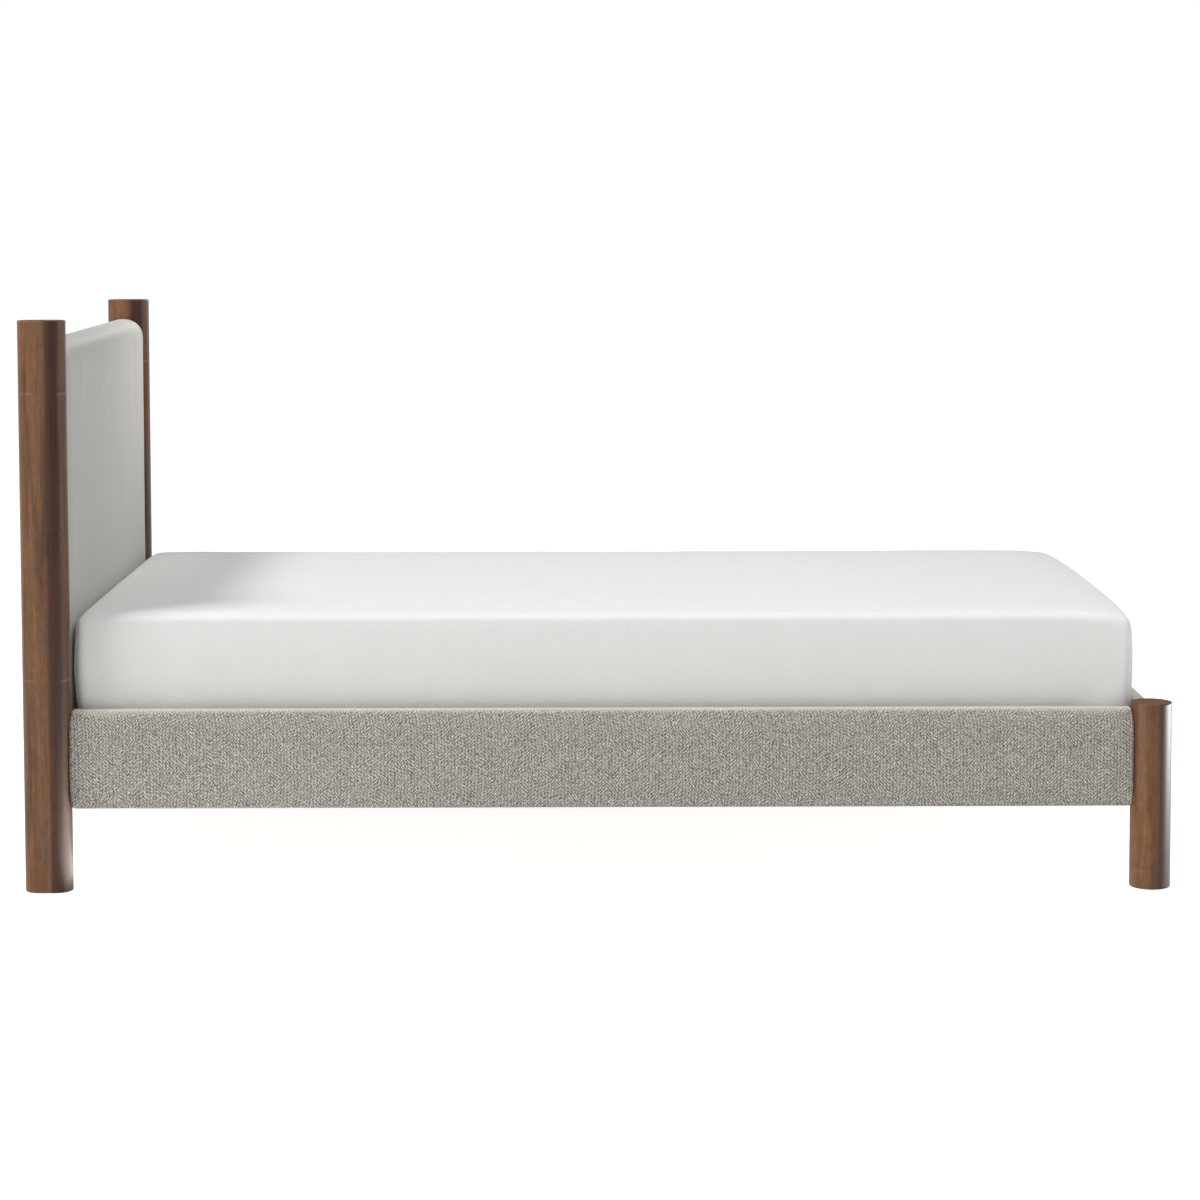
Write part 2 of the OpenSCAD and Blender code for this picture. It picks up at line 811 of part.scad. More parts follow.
module mattress_form() {
    n = 4 * (mattress_corner_steps + 1);
    rows = len(mattress_rings);
    points = [for (ring = mattress_rings) each mattress_ring(ring[0], ring[1])];
    walls = [for (k = [0:rows - 2], i = [0:n - 1])
        let (a = k * n + i, b = k * n + (i + 1) % n)
        each [[a, a + n, b], [b, a + n, b + n]]];
    bottom = [for (i = [0:n - 1]) i];
    top = [for (i = [n - 1:-1:0]) (rows - 1) * n + i];
    polyhedron(points, concat([bottom, top], walls));
}

// Foam block that fills the cover
filling_w = mattress_width - 2 * mattress_cover_t;
filling_len = mattress_length - 2 * mattress_cover_t;
filling_t = mattress_thick - mattress_crown - 2 * mattress_cover_t;
filling_edge_r = 26;

module mattress_filling() {
    translate([0, 0, mattress_cover_t + filling_t / 2])
        soft_block([filling_len, filling_w, filling_t], mattress_corner_r - mattress_cover_t,
            filling_edge_r, filling_edge_r);
}

module comfort_zone() {
    translate([-mattress_length, -mattress_width, mattress_cover_t + filling_t - comfort_layer_t])
        cube([2 * mattress_length, 2 * mattress_width, mattress_thick]);
}

module at_mattress() {
    translate([(mattress_head_x + mattress_foot_x) / 2, 0, mattress_z]) children();
}

module mattress_core() {
    color(foam_color) at_mattress() difference() {
        mattress_filling();
        comfort_zone();
    }
}

module mattress_comfort_layer() {
    color(foam_color) at_mattress() intersection() {
        mattress_filling();
        comfort_zone();
    }
}

module mattress_cover() {
    color(mattress_color) at_mattress() difference() {
        mattress_form();
        mattress_filling();
    }
}

for (side = SIDES) {
    head_post(side);
    foot_post(side);
    head_glide(side);
    foot_glide(side);
    side_rail_core(side);
    side_rail_cover(side);
    headboard_stile(side);
    slat_cleat(side);
    slat_strap(side);
}
for (i = [1:slat_count])
    slat(i);
foot_rail_core();
foot_rail_cover();
hanger_bolts();
crescent_washers();
rail_nuts();
rail_dowels();
frame_rail(frame_rail_zs[2]);  // headboard_top_rail
frame_rail(frame_rail_zs[1]);  // headboard_middle_rail
frame_rail(frame_rail_zs[0]);  // headboard_bottom_rail
headboard_face_board();
headboard_foam();
headboard_cover();
headboard_back_cloth();
headboard_dowels();
headboard_screws();
cleat_screws();
slat_screws();
mattress_core();
mattress_comfort_layer();
mattress_cover();
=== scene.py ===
"""Twin platform bed: stained wooden posts, boucle rails, a crowned soft headboard and a mattress.

Everything is in metres, with +X from the head of the bed to its foot and +Z up.
"""
import math
import random

import bpy
import numpy as np
from mathutils import Euler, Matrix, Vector, noise
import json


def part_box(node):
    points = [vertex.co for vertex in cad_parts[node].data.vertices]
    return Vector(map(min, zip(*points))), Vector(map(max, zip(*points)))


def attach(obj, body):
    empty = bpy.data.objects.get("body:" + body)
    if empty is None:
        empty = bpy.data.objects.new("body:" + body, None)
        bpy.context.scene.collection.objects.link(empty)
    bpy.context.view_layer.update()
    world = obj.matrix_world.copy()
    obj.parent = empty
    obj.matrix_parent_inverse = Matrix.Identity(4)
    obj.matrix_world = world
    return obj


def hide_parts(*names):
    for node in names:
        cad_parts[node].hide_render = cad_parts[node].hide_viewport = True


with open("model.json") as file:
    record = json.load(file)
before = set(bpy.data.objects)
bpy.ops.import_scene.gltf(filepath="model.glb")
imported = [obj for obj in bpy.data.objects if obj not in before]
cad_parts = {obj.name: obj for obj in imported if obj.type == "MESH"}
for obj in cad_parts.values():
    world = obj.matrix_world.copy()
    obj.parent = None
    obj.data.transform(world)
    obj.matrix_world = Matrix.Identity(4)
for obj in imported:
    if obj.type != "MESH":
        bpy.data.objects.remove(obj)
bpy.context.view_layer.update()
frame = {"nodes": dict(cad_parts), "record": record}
MM = 0.001
BED = "bed_frame"
MATTRESS = "mattress"
SIDES = {"left": -1, "right": 1}


def cad_box(node):
    """Lowest and highest corner of a CAD node, as arrays."""
    low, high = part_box(node)
    return np.array(low), np.array(high)


# Camera, matched to the photograph's post edges, rail edges and horizon

CAMERA_PLACE = (-0.0292, -5.899, 1.2518)
CAMERA_DOWN = 4.20
CAMERA_TURN = 0.347
CAMERA_ROLL = 0.10
CAMERA_LENS = 91.0
CAMERA_SHIFT_Y = -0.155
SENSOR = 36.0


def set_camera():
    data = bpy.data.cameras.new("camera")
    data.sensor_width = SENSOR
    data.lens = CAMERA_LENS
    data.shift_y = CAMERA_SHIFT_Y
    data.clip_end = 100.0
    camera = bpy.data.objects.new("camera", data)
    camera.location = CAMERA_PLACE
    level = Euler((math.radians(90 - CAMERA_DOWN), 0, math.radians(-CAMERA_TURN)))
    roll = Euler((0, 0, math.radians(-CAMERA_ROLL)))
    camera.rotation_euler = (level.to_matrix() @ roll.to_matrix()).to_euler()
    bpy.context.scene.collection.objects.link(camera)
    bpy.context.scene.camera = camera


# Materials

def linear(hex_code):
    """An sRGB hex colour as linear RGBA."""
    parts = [int(hex_code[i:i + 2], 16) / 255 for i in (1, 3, 5)]
    return [c / 12.92 if c <= 0.04045 else ((c + 0.055) / 1.055) ** 2.4 for c in parts] + [1.0]


def add(tree, kind, inputs=None, **settings):
    """A node with its settings, and with its inputs set to values or linked to sockets."""
    made = tree.nodes.new(kind)
    for name, value in settings.items():
        setattr(made, name, value)
    for key, value in (inputs or {}).items():
        if isinstance(value, bpy.types.NodeSocket):
            tree.links.new(value, made.inputs[key])
        else:
            made.inputs[key].default_value = value
    return made


def ramp(tree, fac, stops):
    """A colour ramp through (place, hex colour) stops."""
    made = add(tree, "ShaderNodeValToRGB", {"Fac": fac})
    elements = made.color_ramp.elements
    while len(elements) < len(stops):
        elements.new(0.5)
    for element, (place, colour) in zip(elements, stops):
        element.position = place
        element.color = linear(colour)
    return made.outputs["Color"]


def new_material(name, roughness, **sockets):
    """A material with one Principled shader, its node tree, and the shader.

    Each of sockets sets the shader's socket of that name, with spaces for underscores.
    """
    material = bpy.data.materials.new(name)
    material.use_nodes = True
    tree = material.node_tree
    tree.nodes.clear()
    shader = add(tree, "ShaderNodeBsdfPrincipled", {"Roughness": roughness})
    for key, value in sockets.items():
        shader.inputs[key.replace("_", " ")].default_value = value
    output = add(tree, "ShaderNodeOutputMaterial")
    tree.links.new(shader.outputs["BSDF"], output.inputs["Surface"])
    return material, tree, shader


def grain_coordinates(tree, sizes, attribute=None):
    """Coordinates in which one unit is sizes (in metres) along x, y and z."""
    if attribute:
        place = add(tree, "ShaderNodeAttribute", attribute_name=attribute).outputs["Vector"]
    else:
        place = add(tree, "ShaderNodeTexCoord").outputs["Object"]
    return add(tree, "ShaderNodeMapping", {
        "Vector": place, "Scale": tuple(1 / size for size in sizes),
    }).outputs["Vector"]


def math_node(tree, operation, *values):
    """A maths node; each value is a number or a socket."""
    return add(tree, "ShaderNodeMath", dict(enumerate(values)), operation=operation).outputs[0]


def mixed(tree, factor, a, b, blend="MIX"):
    """Colour b blended over colour a by a factor."""
    return add(tree, "ShaderNodeMix", {"Factor": factor, "A": a, "B": b},
               data_type="RGBA", blend_type=blend).outputs["Result"]


def band(tree, value, start, end, low=0.0, high=1.0):
    """A value's range from start to end, stretched to low and high and held there."""
    return add(tree, "ShaderNodeMapRange", {
        "Value": value, "From Min": start, "From Max": end, "To Min": low, "To Max": high,
    }).outputs["Result"]


def cloud(tree, vector, detail=2.0, rough=0.5, bend=0.0):
    """Soft noise from 0 to 1, with blotches about one unit of vector wide."""
    return add(tree, "ShaderNodeTexNoise", {
        "Vector": vector, "Scale": 1.0, "Detail": detail, "Roughness": rough, "Distortion": bend,
    }).outputs["Fac"]


def upward(tree):
    """How far a surface faces up: 1 on top, 0 on a side, -1 below."""
    return add(tree, "ShaderNodeSeparateXYZ", {
        "Vector": add(tree, "ShaderNodeNewGeometry").outputs["Normal"],
    }).outputs["Z"]


def finish_surface(tree, shader, colour, height=None, strength=0.0, depth=0.0):
    """Gives a shader its colour, and a relief of some depth (in metres) from a height of 0 to 1."""
    tree.links.new(colour, shader.inputs["Base Color"])
    if height is not None:
        relief = add(tree, "ShaderNodeBump", {
            "Strength": strength, "Distance": depth, "Height": height,
        })
        tree.links.new(relief.outputs["Normal"], shader.inputs["Normal"])


# Staves glued side by side across each post; the grid is the same for head and foot posts, and so
# is the painted shade and painted reflection laid across them
STAVE_W = 0.0218
STAVE_LEN = 0.512
STAVE_START = -1.0445
STAVE_COUNT = 5
STAVE_ROOM = 0.05
STAVE_WAVER = 0.004
# HEAD_TO_FOOT also places the painted shade band and painted reflection on the foot posts
HEAD_TO_FOOT = 1.981
JOINT_Z = 0.384
JOINT_STEP = 0.24
JOINT_W = 0.0034
FOOT_JOINT_RISE = 0.350


def stained_post_wood():
    """Posts glued up from finger-jointed staves, walnut stain, sprayed satin lacquer.

    The eye sees long soft streaks from orange brown to grey brown, staves that differ in tone,
    a few thin pale end joints, a rare small knot and a soft sheen. The stave towards the foot of
    the bed is darkest, partly by its own tone and partly by painted shade where the post turns
    away from the light, and the post's edge towards the foot is painted paler and greyer, as a
    painted reflection.
    """
    material, tree, shader = new_material("post_wood_walnut_stain", 0.4, Specular_IOR_Level=0.25)
    figure = cloud(tree, grain_coordinates(tree, (0.017, 0.017, 0.30)), 4.0, 0.55, 0.4)
    streaks = cloud(tree, grain_coordinates(tree, (0.0042, 0.0042, 0.15)), 5.0, 0.6, 0.2)
    pores = cloud(tree, grain_coordinates(tree, (0.0016, 0.0016, 0.022)))
    glow = cloud(tree, grain_coordinates(tree, (0.011, 0.011, 0.12)), 2.0, 0.5, 0.6)
    curl = cloud(tree, grain_coordinates(tree, (0.009, 0.009, 0.026)), 3.0, 0.6, 1.2)
    base = ramp(tree, figure, [
        (0.28, "#5c4534"), (0.42, "#765a43"), (0.52, "#84664c"), (0.62, "#8c6e55"),
        (0.74, "#997e62"),
    ])
    base = mixed(tree, band(tree, glow, 0.50, 0.72, 0.0, 0.6), base, linear("#9c6e3c"))

    axes = add(tree, "ShaderNodeSeparateXYZ", {
        "Vector": add(tree, "ShaderNodeTexCoord").outputs["Object"],
    })
    across = math_node(tree, "WRAP", axes.outputs["X"], STAVE_START - STAVE_ROOM + HEAD_TO_FOOT,
                       STAVE_START - STAVE_ROOM)
    at_foot = math_node(tree, "GREATER_THAN", axes.outputs["X"], 0.0)
    # The figure bends the borders between staves a little
    waver = math_node(tree, "MULTIPLY_ADD", figure, STAVE_WAVER, across)
    place = math_node(tree, "DIVIDE", math_node(
        tree, "SUBTRACT", waver, STAVE_START + STAVE_WAVER / 2), STAVE_W * STAVE_COUNT)
    # Stave tones across each post, with painted shade in a dark band from 0.63 to 0.79 of the way
    # across, where the post turns away from the light, and a painted reflection in the pale grey
    # band beyond it at the edge towards the foot
    tone = ramp(tree, place, [
        (0.12, "#ffe0b6"), (0.24, "#fdecde"), (0.38, "#f6ede8"), (0.46, "#ece2de"),
        (0.58, "#e2d6d0"), (0.63, "#967c6c"), (0.70, "#745c4d"), (0.79, "#6d5648"),
        (0.84, "#b8ada4"), (1.0, "#d2c6be"),
    ])
    toned_with_painted_shade = mixed(tree, 1.0, base, tone, "MULTIPLY")
    # Each length of stave is from another board, so its tone shifts as a whole
    stave = math_node(tree, "FLOOR", math_node(tree, "DIVIDE", math_node(
        tree, "SUBTRACT", across, STAVE_START), STAVE_W))
    odd = math_node(tree, "COMPARE", math_node(tree, "MODULO", stave, 3.0), 1.0, 0.1)
    rise = math_node(tree, "MULTIPLY_ADD", at_foot, FOOT_JOINT_RISE, axes.outputs["Z"])
    rise = math_node(tree, "MULTIPLY_ADD", odd, -JOINT_STEP, rise)
    along = math_node(tree, "DIVIDE", math_node(
        tree, "SUBTRACT", rise, JOINT_Z - JOINT_STEP), STAVE_LEN)
    board = add(tree, "ShaderNodeCombineXYZ", {
        "X": stave, "Y": math_node(tree, "FLOOR", along), "Z": at_foot,
    })
    shift = add(tree, "ShaderNodeTexWhiteNoise", {"Vector": board.outputs["Vector"]},
                noise_dimensions="3D").outputs["Value"]
    toned_with_painted_shade = mixed(tree, 0.16, toned_with_painted_shade, ramp(tree, shift, [(0.0, "#6a5a50"), (1.0, "#a08468")]),
                  "OVERLAY")
    toned_with_painted_shade = mixed(tree, 0.45, toned_with_painted_shade, ramp(tree, curl, [(0.3, "#988d84"), (0.7, "#dcd4cc")]),
                  "OVERLAY")
    # One noise darkens the long streaks and another the open pores
    streaked = mixed(tree, band(tree, streaks, 0.42, 0.72, 0.0, 0.45), toned_with_painted_shade, linear("#4a3226"))
    pored = mixed(tree, band(tree, pores, 0.62, 0.76, 0.0, 0.35), streaked, linear("#3a2417"))
    # Where two boards meet end to end, the grain shows pale for some 3 mm
    off_joint = math_node(tree, "PINGPONG", along, 0.5)
    joint = math_node(tree, "MULTIPLY", band(tree, off_joint, 0.0, JOINT_W / STAVE_LEN, 1.0, 0.0),
                      math_node(tree, "MULTIPLY_ADD", odd, 0.22, 0.03))
    jointed = mixed(tree, joint, pored, linear("#ac8763"))
    # Knots: rare dark cores drawn out along the grain
    knots = add(tree, "ShaderNodeTexVoronoi", {
        "Vector": grain_coordinates(tree, (0.075, 0.075, 0.36)), "Scale": 1.0, "Randomness": 1.0,
    }).outputs["Distance"]
    knotted = mixed(tree, band(tree, knots, 0.05, 0.13, 0.7, 0.0), jointed, linear("#33211a"))
    # End grain drinks the stain and stays dull
    end_grain = band(tree, math_node(tree, "ABSOLUTE", upward(tree)), 0.8, 0.97)
    rings = cloud(tree, grain_coordinates(tree, (0.004, 0.002, 0.02)), 2.0, 0.5, 1.2)
    ended = mixed(tree, end_grain, knotted, ramp(tree, rings, [(0.3, "#4d3626"), (0.7, "#6b4e39")]))
    tree.links.new(math_node(tree, "MULTIPLY_ADD", end_grain, 0.45, 0.4),
                   shader.inputs["Roughness"])
    finish_surface(tree, shader, ended, streaks, 0.2, 0.0003)
    return material


def boucle_cloth():
    """Upholstery boucle of thick slubbed yarn, knitted in upright columns of slanted loops.

    The eye sees pale loops some 5 mm wide over dark gaps, row on row, that lean one way, then the
    other, and run together here and there. The columns are drawn a little coarser than they
    are, so that they show from where the whole bed is in view.
    """
    material, tree, shader = new_material("rail_boucle", 0.95, Specular_IOR_Level=0.15,
                                          Sheen_Weight=0.5, Sheen_Roughness=0.5)
    column_w, loop_h = 0.0060, 0.0062

    def shifted(place, sizes, reach):
        """Places on the cloth, moved by a noise of these sizes, up to reach along each axis."""
        drift = add(tree, "ShaderNodeTexNoise", {
            "Vector": grain_coordinates(tree, sizes, "cloth"), "Scale": 1.0, "Detail": 1.0,
        }).outputs["Color"]
        return add(tree, "ShaderNodeVectorMath", {0: drift, 1: reach, 2: place},
                   operation="MULTIPLY_ADD").outputs["Vector"]

    # Columns wander, and no two loops are the same size
    place = add(tree, "ShaderNodeAttribute", attribute_name="cloth").outputs["Vector"]
    moved = shifted(place, (0.018, 0.018, 0.018), (0.004, 0.0, 0.005))
    moved = shifted(moved, (0.0045, 0.0045, 0.0055), (0.0034, 0.0, 0.0046))
    # Places along the rail, and up it and on over its top, counted in columns and loops
    axes = add(tree, "ShaderNodeSeparateXYZ", {"Vector": moved})
    along = math_node(tree, "DIVIDE", math_node(
        tree, "ADD", axes.outputs["X"], axes.outputs["Y"]), column_w)
    up = math_node(tree, "DIVIDE", math_node(
        tree, "MULTIPLY_ADD", axes.outputs["Y"], 0.7, axes.outputs["Z"]), loop_h)
    start = add(tree, "ShaderNodeTexWhiteNoise", {"W": math_node(tree, "FLOOR", along)},
                noise_dimensions="1D").outputs["Value"]
    up = math_node(tree, "MULTIPLY_ADD", start, 0.5, up)

    def slanted(lean):
        """Bright once a row, with the rows leaning across the columns."""
        rows = math_node(tree, "MULTIPLY_ADD", along, lean, up)
        return math_node(tree, "MULTIPLY", math_node(tree, "PINGPONG", rows, 0.5), 2.0)

    # Loops lean to one side in some areas, to the other in the next, and cross in between
    area = cloud(tree, grain_coordinates(tree, (0.028, 0.028, 0.034), "cloth"), 1.0)
    side = band(tree, area, 0.47, 0.53)
    up_loop = math_node(tree, "ADD", math_node(tree, "MULTIPLY", slanted(1.1), side), math_node(
        tree, "MULTIPLY", slanted(-1.1), math_node(tree, "SUBTRACT", 1.0, side)))
    across_loop = math_node(tree, "MULTIPLY", math_node(tree, "PINGPONG", along, 0.5), 2.0)
    loop = math_node(tree, "MULTIPLY", math_node(tree, "POWER", across_loop, 0.33), up_loop)
    yarn = cloud(tree, grain_coordinates(tree, (0.0021, 0.0021, 0.0027), "cloth"), 1.5)
    height = math_node(tree, "MULTIPLY_ADD", loop, 0.5, math_node(tree, "MULTIPLY", yarn, 0.9))
    colour = ramp(tree, height, [
        (0.38, "#5c584f"), (0.54, "#8f8b81"), (0.74, "#c3bfb6"), (0.98, "#f2efe8"),
    ])
    # The top face is painted paler than the sides, as painted light from above on the tips of the
    # loops
    painted_top_light = band(tree, upward(tree), 0.35, 0.98, 0.0, 0.6)
    colour = mixed(tree, painted_top_light, colour, linear("#e6e2da"))
    finish_surface(tree, shader, colour, height, 0.8, 0.0015)
    return material


def woven_cloth(name, dark, light, thread, strength, roughness=0.85, sheen=0.15):
    """Plain-woven or knitted cloth: fine ribs both ways over a faint unevenness of tone."""
    material, tree, shader = new_material(name, roughness, Specular_IOR_Level=0.2,
                                          Sheen_Weight=sheen, Sheen_Roughness=0.5)
    weave = cloud(tree, grain_coordinates(tree, (thread, thread, thread * 1.6)), 2.0, 0.6)
    tone = cloud(tree, grain_coordinates(tree, (0.05, 0.05, 0.12)))
    both = math_node(tree, "MULTIPLY_ADD", weave, 0.85, math_node(tree, "MULTIPLY", tone, 0.15))
    colour = ramp(tree, both, [(0.35, dark), (0.65, light)])
    finish_surface(tree, shader, colour, weave, strength, 0.0005)
    return material


def sawn_wood(name, stops, along, roughness, grain=0.006, reach=0.22):
    """Plain planed softwood or ply: straight soft streaks of late wood along one axis."""
    material, tree, shader = new_material(name, roughness, Specular_IOR_Level=0.35)
    sizes = [grain, grain, grain]
    sizes["xyz".index(along)] = reach
    rings = cloud(tree, grain_coordinates(tree, sizes), 4.0, 0.55, 0.4)
    finish_surface(tree, shader, ramp(tree, rings, stops), rings, 0.3, 0.0003)
    return material


def plated_steel():
    """Zinc-plated steel fasteners: a soft grey metal, mottled by the bright dip."""
    material, tree, shader = new_material("zinc_plated_steel", 0.38, Metallic=1.0)
    mottle = cloud(tree, grain_coordinates(tree, (0.003, 0.003, 0.003)), 3.0)
    finish_surface(tree, shader, ramp(tree, mottle, [(0.3, "#a9acb0"), (0.7, "#c8cacc")]))
    return material


def moulded_nylon():
    """Injection-moulded nylon glides: black, with a dull spark-eroded skin."""
    material, tree, shader = new_material("glide_nylon", 0.55, IOR=1.53)
    skin = cloud(tree, grain_coordinates(tree, (0.0008, 0.0008, 0.0008)))
    finish_surface(tree, shader, ramp(tree, skin, [(0.3, "#2b2b2b"), (0.7, "#383838")]))
    return material


def make_materials():
    """One material for each of the record's slots."""
    pine = [(0.30, "#b98f5e"), (0.48, "#cfae7c"), (0.66, "#ddc195")]
    ply = [(0.30, "#a98456"), (0.50, "#c0a070"), (0.68, "#cfb387")]
    return {
        "post_wood": stained_post_wood(),
        "rail_boucle": boucle_cloth(),
        "headboard_fabric": woven_cloth("headboard_cloth", "#aaa8a2", "#bbb9b3", 0.0012, 0.25,
                                        sheen=0.4),
        "mattress_fabric": woven_cloth("mattress_knit", "#ececea", "#f4f4f2", 0.0014, 0.15),
        "foam": woven_cloth("foam", "#e4d9ae", "#efe6c2", 0.002, 0.3, roughness=0.95),
        "plywood": sawn_wood("birch_ply", ply, "x", 0.7),
        "slat_pine": sawn_wood("slat_pine", pine, "y", 0.55),
        "frame_pine": sawn_wood("frame_pine", pine, "z", 0.7),
        "dowel_beech": sawn_wood("dowel_beech", [(0.3, "#b88a5e"), (0.7, "#d0a67a")], "x", 0.6,
                                 grain=0.002, reach=0.02),
        "zinc_steel": plated_steel(),
        "back_cloth": woven_cloth("back_cloth", "#b4b4af", "#c6c6c1", 0.0015, 0.3),
        "strap_webbing": woven_cloth("strap_webbing", "#7f7f7b", "#9a9a96", 0.002, 0.6),
        "glide_nylon": moulded_nylon(),
    }


# Mesh work

HALVINGS = 20
CLOTH_FRAMES = 20


def stations(low, high, cell, edge_cell, edge_run):
    """Places along one axis, a cell apart, and closer together near both ends."""
    middle = np.linspace(low + edge_run, high - edge_run,
                         max(2, round((high - low - 2 * edge_run) / cell)) + 1)
    ends = np.linspace(0, edge_run, max(1, round(edge_run / edge_cell)) + 1)[:-1]
    return np.concatenate([low + ends, middle, (high - ends)[::-1]]) if edge_run else middle


def lattice_box(low, high, cell, edge_cell=0.005, edge_run=0.0):
    """A closed box of quads: its points as an array, and its quads.

    cell is the quads' size along each axis, and edge_cell their size within edge_run of an edge.
    """
    places = [stations(low[a], high[a], cell[a], edge_cell, edge_run) for a in range(3)]
    counts = [len(along) - 1 for along in places]
    index, points, quads = {}, [], []

    def corner(key):
        if key not in index:
            index[key] = len(points)
            points.append([places[a][key[a]] for a in range(3)])
        return index[key]

    for axis in range(3):
        u, v = (axis + 1) % 3, (axis + 2) % 3
        for level in (0, counts[axis]):
            for i in range(counts[u]):
                for j in range(counts[v]):
                    ring = [(i, j), (i + 1, j), (i + 1, j + 1), (i, j + 1)]
                    if level == 0:
                        ring.reverse()
                    quad = []
                    for p, q in ring:
                        key = [level, level, level]
                        key[u], key[v] = p, q
                        quad.append(corner(tuple(key)))
                    quads.append(quad)
    return np.array(points), quads


def drawn_in(points, low, high, margin, inside):
    """Points of a box, drawn in until they lie on a form.

    Each moves towards the nearest point of a core, which lies in by margin from the box, and
    inside says which of some points are within the form.
    """
    core = np.clip(points, low + margin, high - margin)
    near, far = np.zeros(len(points)), np.ones(len(points))
    for _ in range(HALVINGS):
        middle = (near + far) / 2
        within = inside(core + (points - core) * middle[:, None])
        near = np.where(within, middle, near)
        far = np.where(within, far, middle)
    return core + (points - core) * near[:, None]


def within_rounded(u, v, half_u, half_v, corner_u, corner_v):
    """Whether (u, v) lies in a rectangle about the origin with elliptical corners."""
    over_u = np.maximum(np.abs(u) - (half_u - corner_u), 0) / corner_u
    over_v = np.maximum(np.abs(v) - (half_v - corner_v), 0) / corner_v
    return over_u ** 2 + over_v ** 2 <= 1


def mesh_piece(name, points, faces, material):
    mesh = bpy.data.meshes.new(name)
    mesh.from_pydata([tuple(p) for p in points], [], faces)
    mesh.validate()
    mesh.polygons.foreach_set("use_smooth", [True] * len(mesh.polygons))
    mesh.materials.append(material)
    piece = bpy.data.objects.new(name, mesh)
    bpy.context.scene.collection.objects.link(piece)
    return piece


def points_of(piece, mesh=None):
    mesh = mesh or piece.data
    found = np.empty(len(mesh.vertices) * 3)
    mesh.vertices.foreach_get("co", found)
    return found.reshape(-1, 3)


def set_points(piece, points):
    piece.data.vertices.foreach_set("co", np.asarray(points).ravel())
    piece.data.update()


def normals_of(piece):
    found = np.empty(len(piece.data.vertices) * 3)
    piece.data.vertices.foreach_get("normal", found)
    return found.reshape(-1, 3)


def applied(piece):
    """Bakes a piece's modifiers into its mesh."""
    graph = bpy.context.evaluated_depsgraph_get()
    mesh = bpy.data.meshes.new_from_object(piece.evaluated_get(graph))
    old = piece.data
    piece.modifiers.clear()
    piece.data = mesh
    mesh.name = piece.name
    bpy.data.meshes.remove(old)


def puffed(piece, pressure, cap, grip, stiff, bend, sink=math.inf, shrink=0.0):
    """Swells a pad as cloth under pressure. grip holds each point, from 0 free to 1 fixed.

    No point moves farther than cap, nor farther inward than sink.
    """
    start, outward = points_of(piece), normals_of(piece)
    group = piece.vertex_groups.new(name="grip")
    for level in np.unique(np.round(grip, 1)):
        chosen = np.nonzero(np.round(grip, 1) == level)[0]
        if level > 0:
            group.add(chosen.tolist(), float(level), "REPLACE")
    cloth = piece.modifiers.new("cloth", "CLOTH")
    settings = cloth.settings
    settings.quality = 4
    settings.mass = 0.4
    settings.tension_stiffness = stiff
    settings.compression_stiffness = stiff
    settings.shear_stiffness = stiff / 2
    settings.bending_stiffness = bend
    settings.use_pressure = True
    settings.uniform_pressure_force = pressure
    settings.shrink_min = shrink
    settings.effector_weights.gravity = 0
    settings.vertex_group_mass = "grip"
    cloth.collision_settings.use_collision = False
    cloth.collision_settings.use_self_collision = False
    scene = bpy.context.scene
    for step in range(1, CLOTH_FRAMES + 1):
        scene.frame_set(step)
    graph = bpy.context.evaluated_depsgraph_get()
    moved = points_of(piece, piece.evaluated_get(graph).data)
    piece.modifiers.clear()
    piece.vertex_groups.clear()
    scene.frame_set(1)
    push = moved - start
    length = np.linalg.norm(push, axis=1, keepdims=True)
    push *= np.minimum(1, cap / np.maximum(length, 1e-9))
    inward = -np.sum(push * outward, axis=1, keepdims=True)
    push += outward * np.maximum(inward - sink, 0)
    set_points(piece, start + push)


def cloth_coordinates(piece, axes):
    """Stores where each point lies along, through and up the cloth, for its pattern."""
    found = points_of(piece)[:, axes]
    data = piece.data.attributes.new("cloth", "FLOAT_VECTOR", "POINT")
    data.data.foreach_set("vector", found.ravel())


def subdivided(piece):
    smooth = piece.modifiers.new("smooth", "SUBSURF")
    smooth.levels = smooth.render_levels = 1
    applied(piece)


def cut(piece, cutters):
    """Takes cutter objects out of a piece."""
    for cutter in cutters:
        bite = piece.modifiers.new("bite", "BOOLEAN")
        bite.operation = "DIFFERENCE"
        bite.solver = "EXACT"
        bite.object = cutter
    applied(piece)
    for cutter in cutters:
        bpy.data.objects.remove(cutter)


def block(name, low, high):
    points, quads = lattice_box(low, high, np.maximum((high - low) / 2, 1e-6))
    return mesh_piece(name, points, quads, None)


def rod(name, centre, radius, axis, length):
    """A closed cylinder with its middle at centre."""
    sides = 48
    u, v = (axis + 1) % 3, (axis + 2) % 3
    points = []
    for end in (-length / 2, length / 2):
        for i in range(sides):
            point = list(centre)
            point[axis] += end
            point[u] += radius * math.cos(2 * math.pi * i / sides)
            point[v] += radius * math.sin(2 * math.pi * i / sides)
            points.append(point)
    faces = [list(range(sides))[::-1], list(range(sides, 2 * sides))]
    faces += [[i, (i + 1) % sides, sides + (i + 1) % sides, sides + i] for i in range(sides)]
    return mesh_piece(name, points, faces, None)


# Rails: boucle over a thin pad over a board, with access holes for the joint nuts

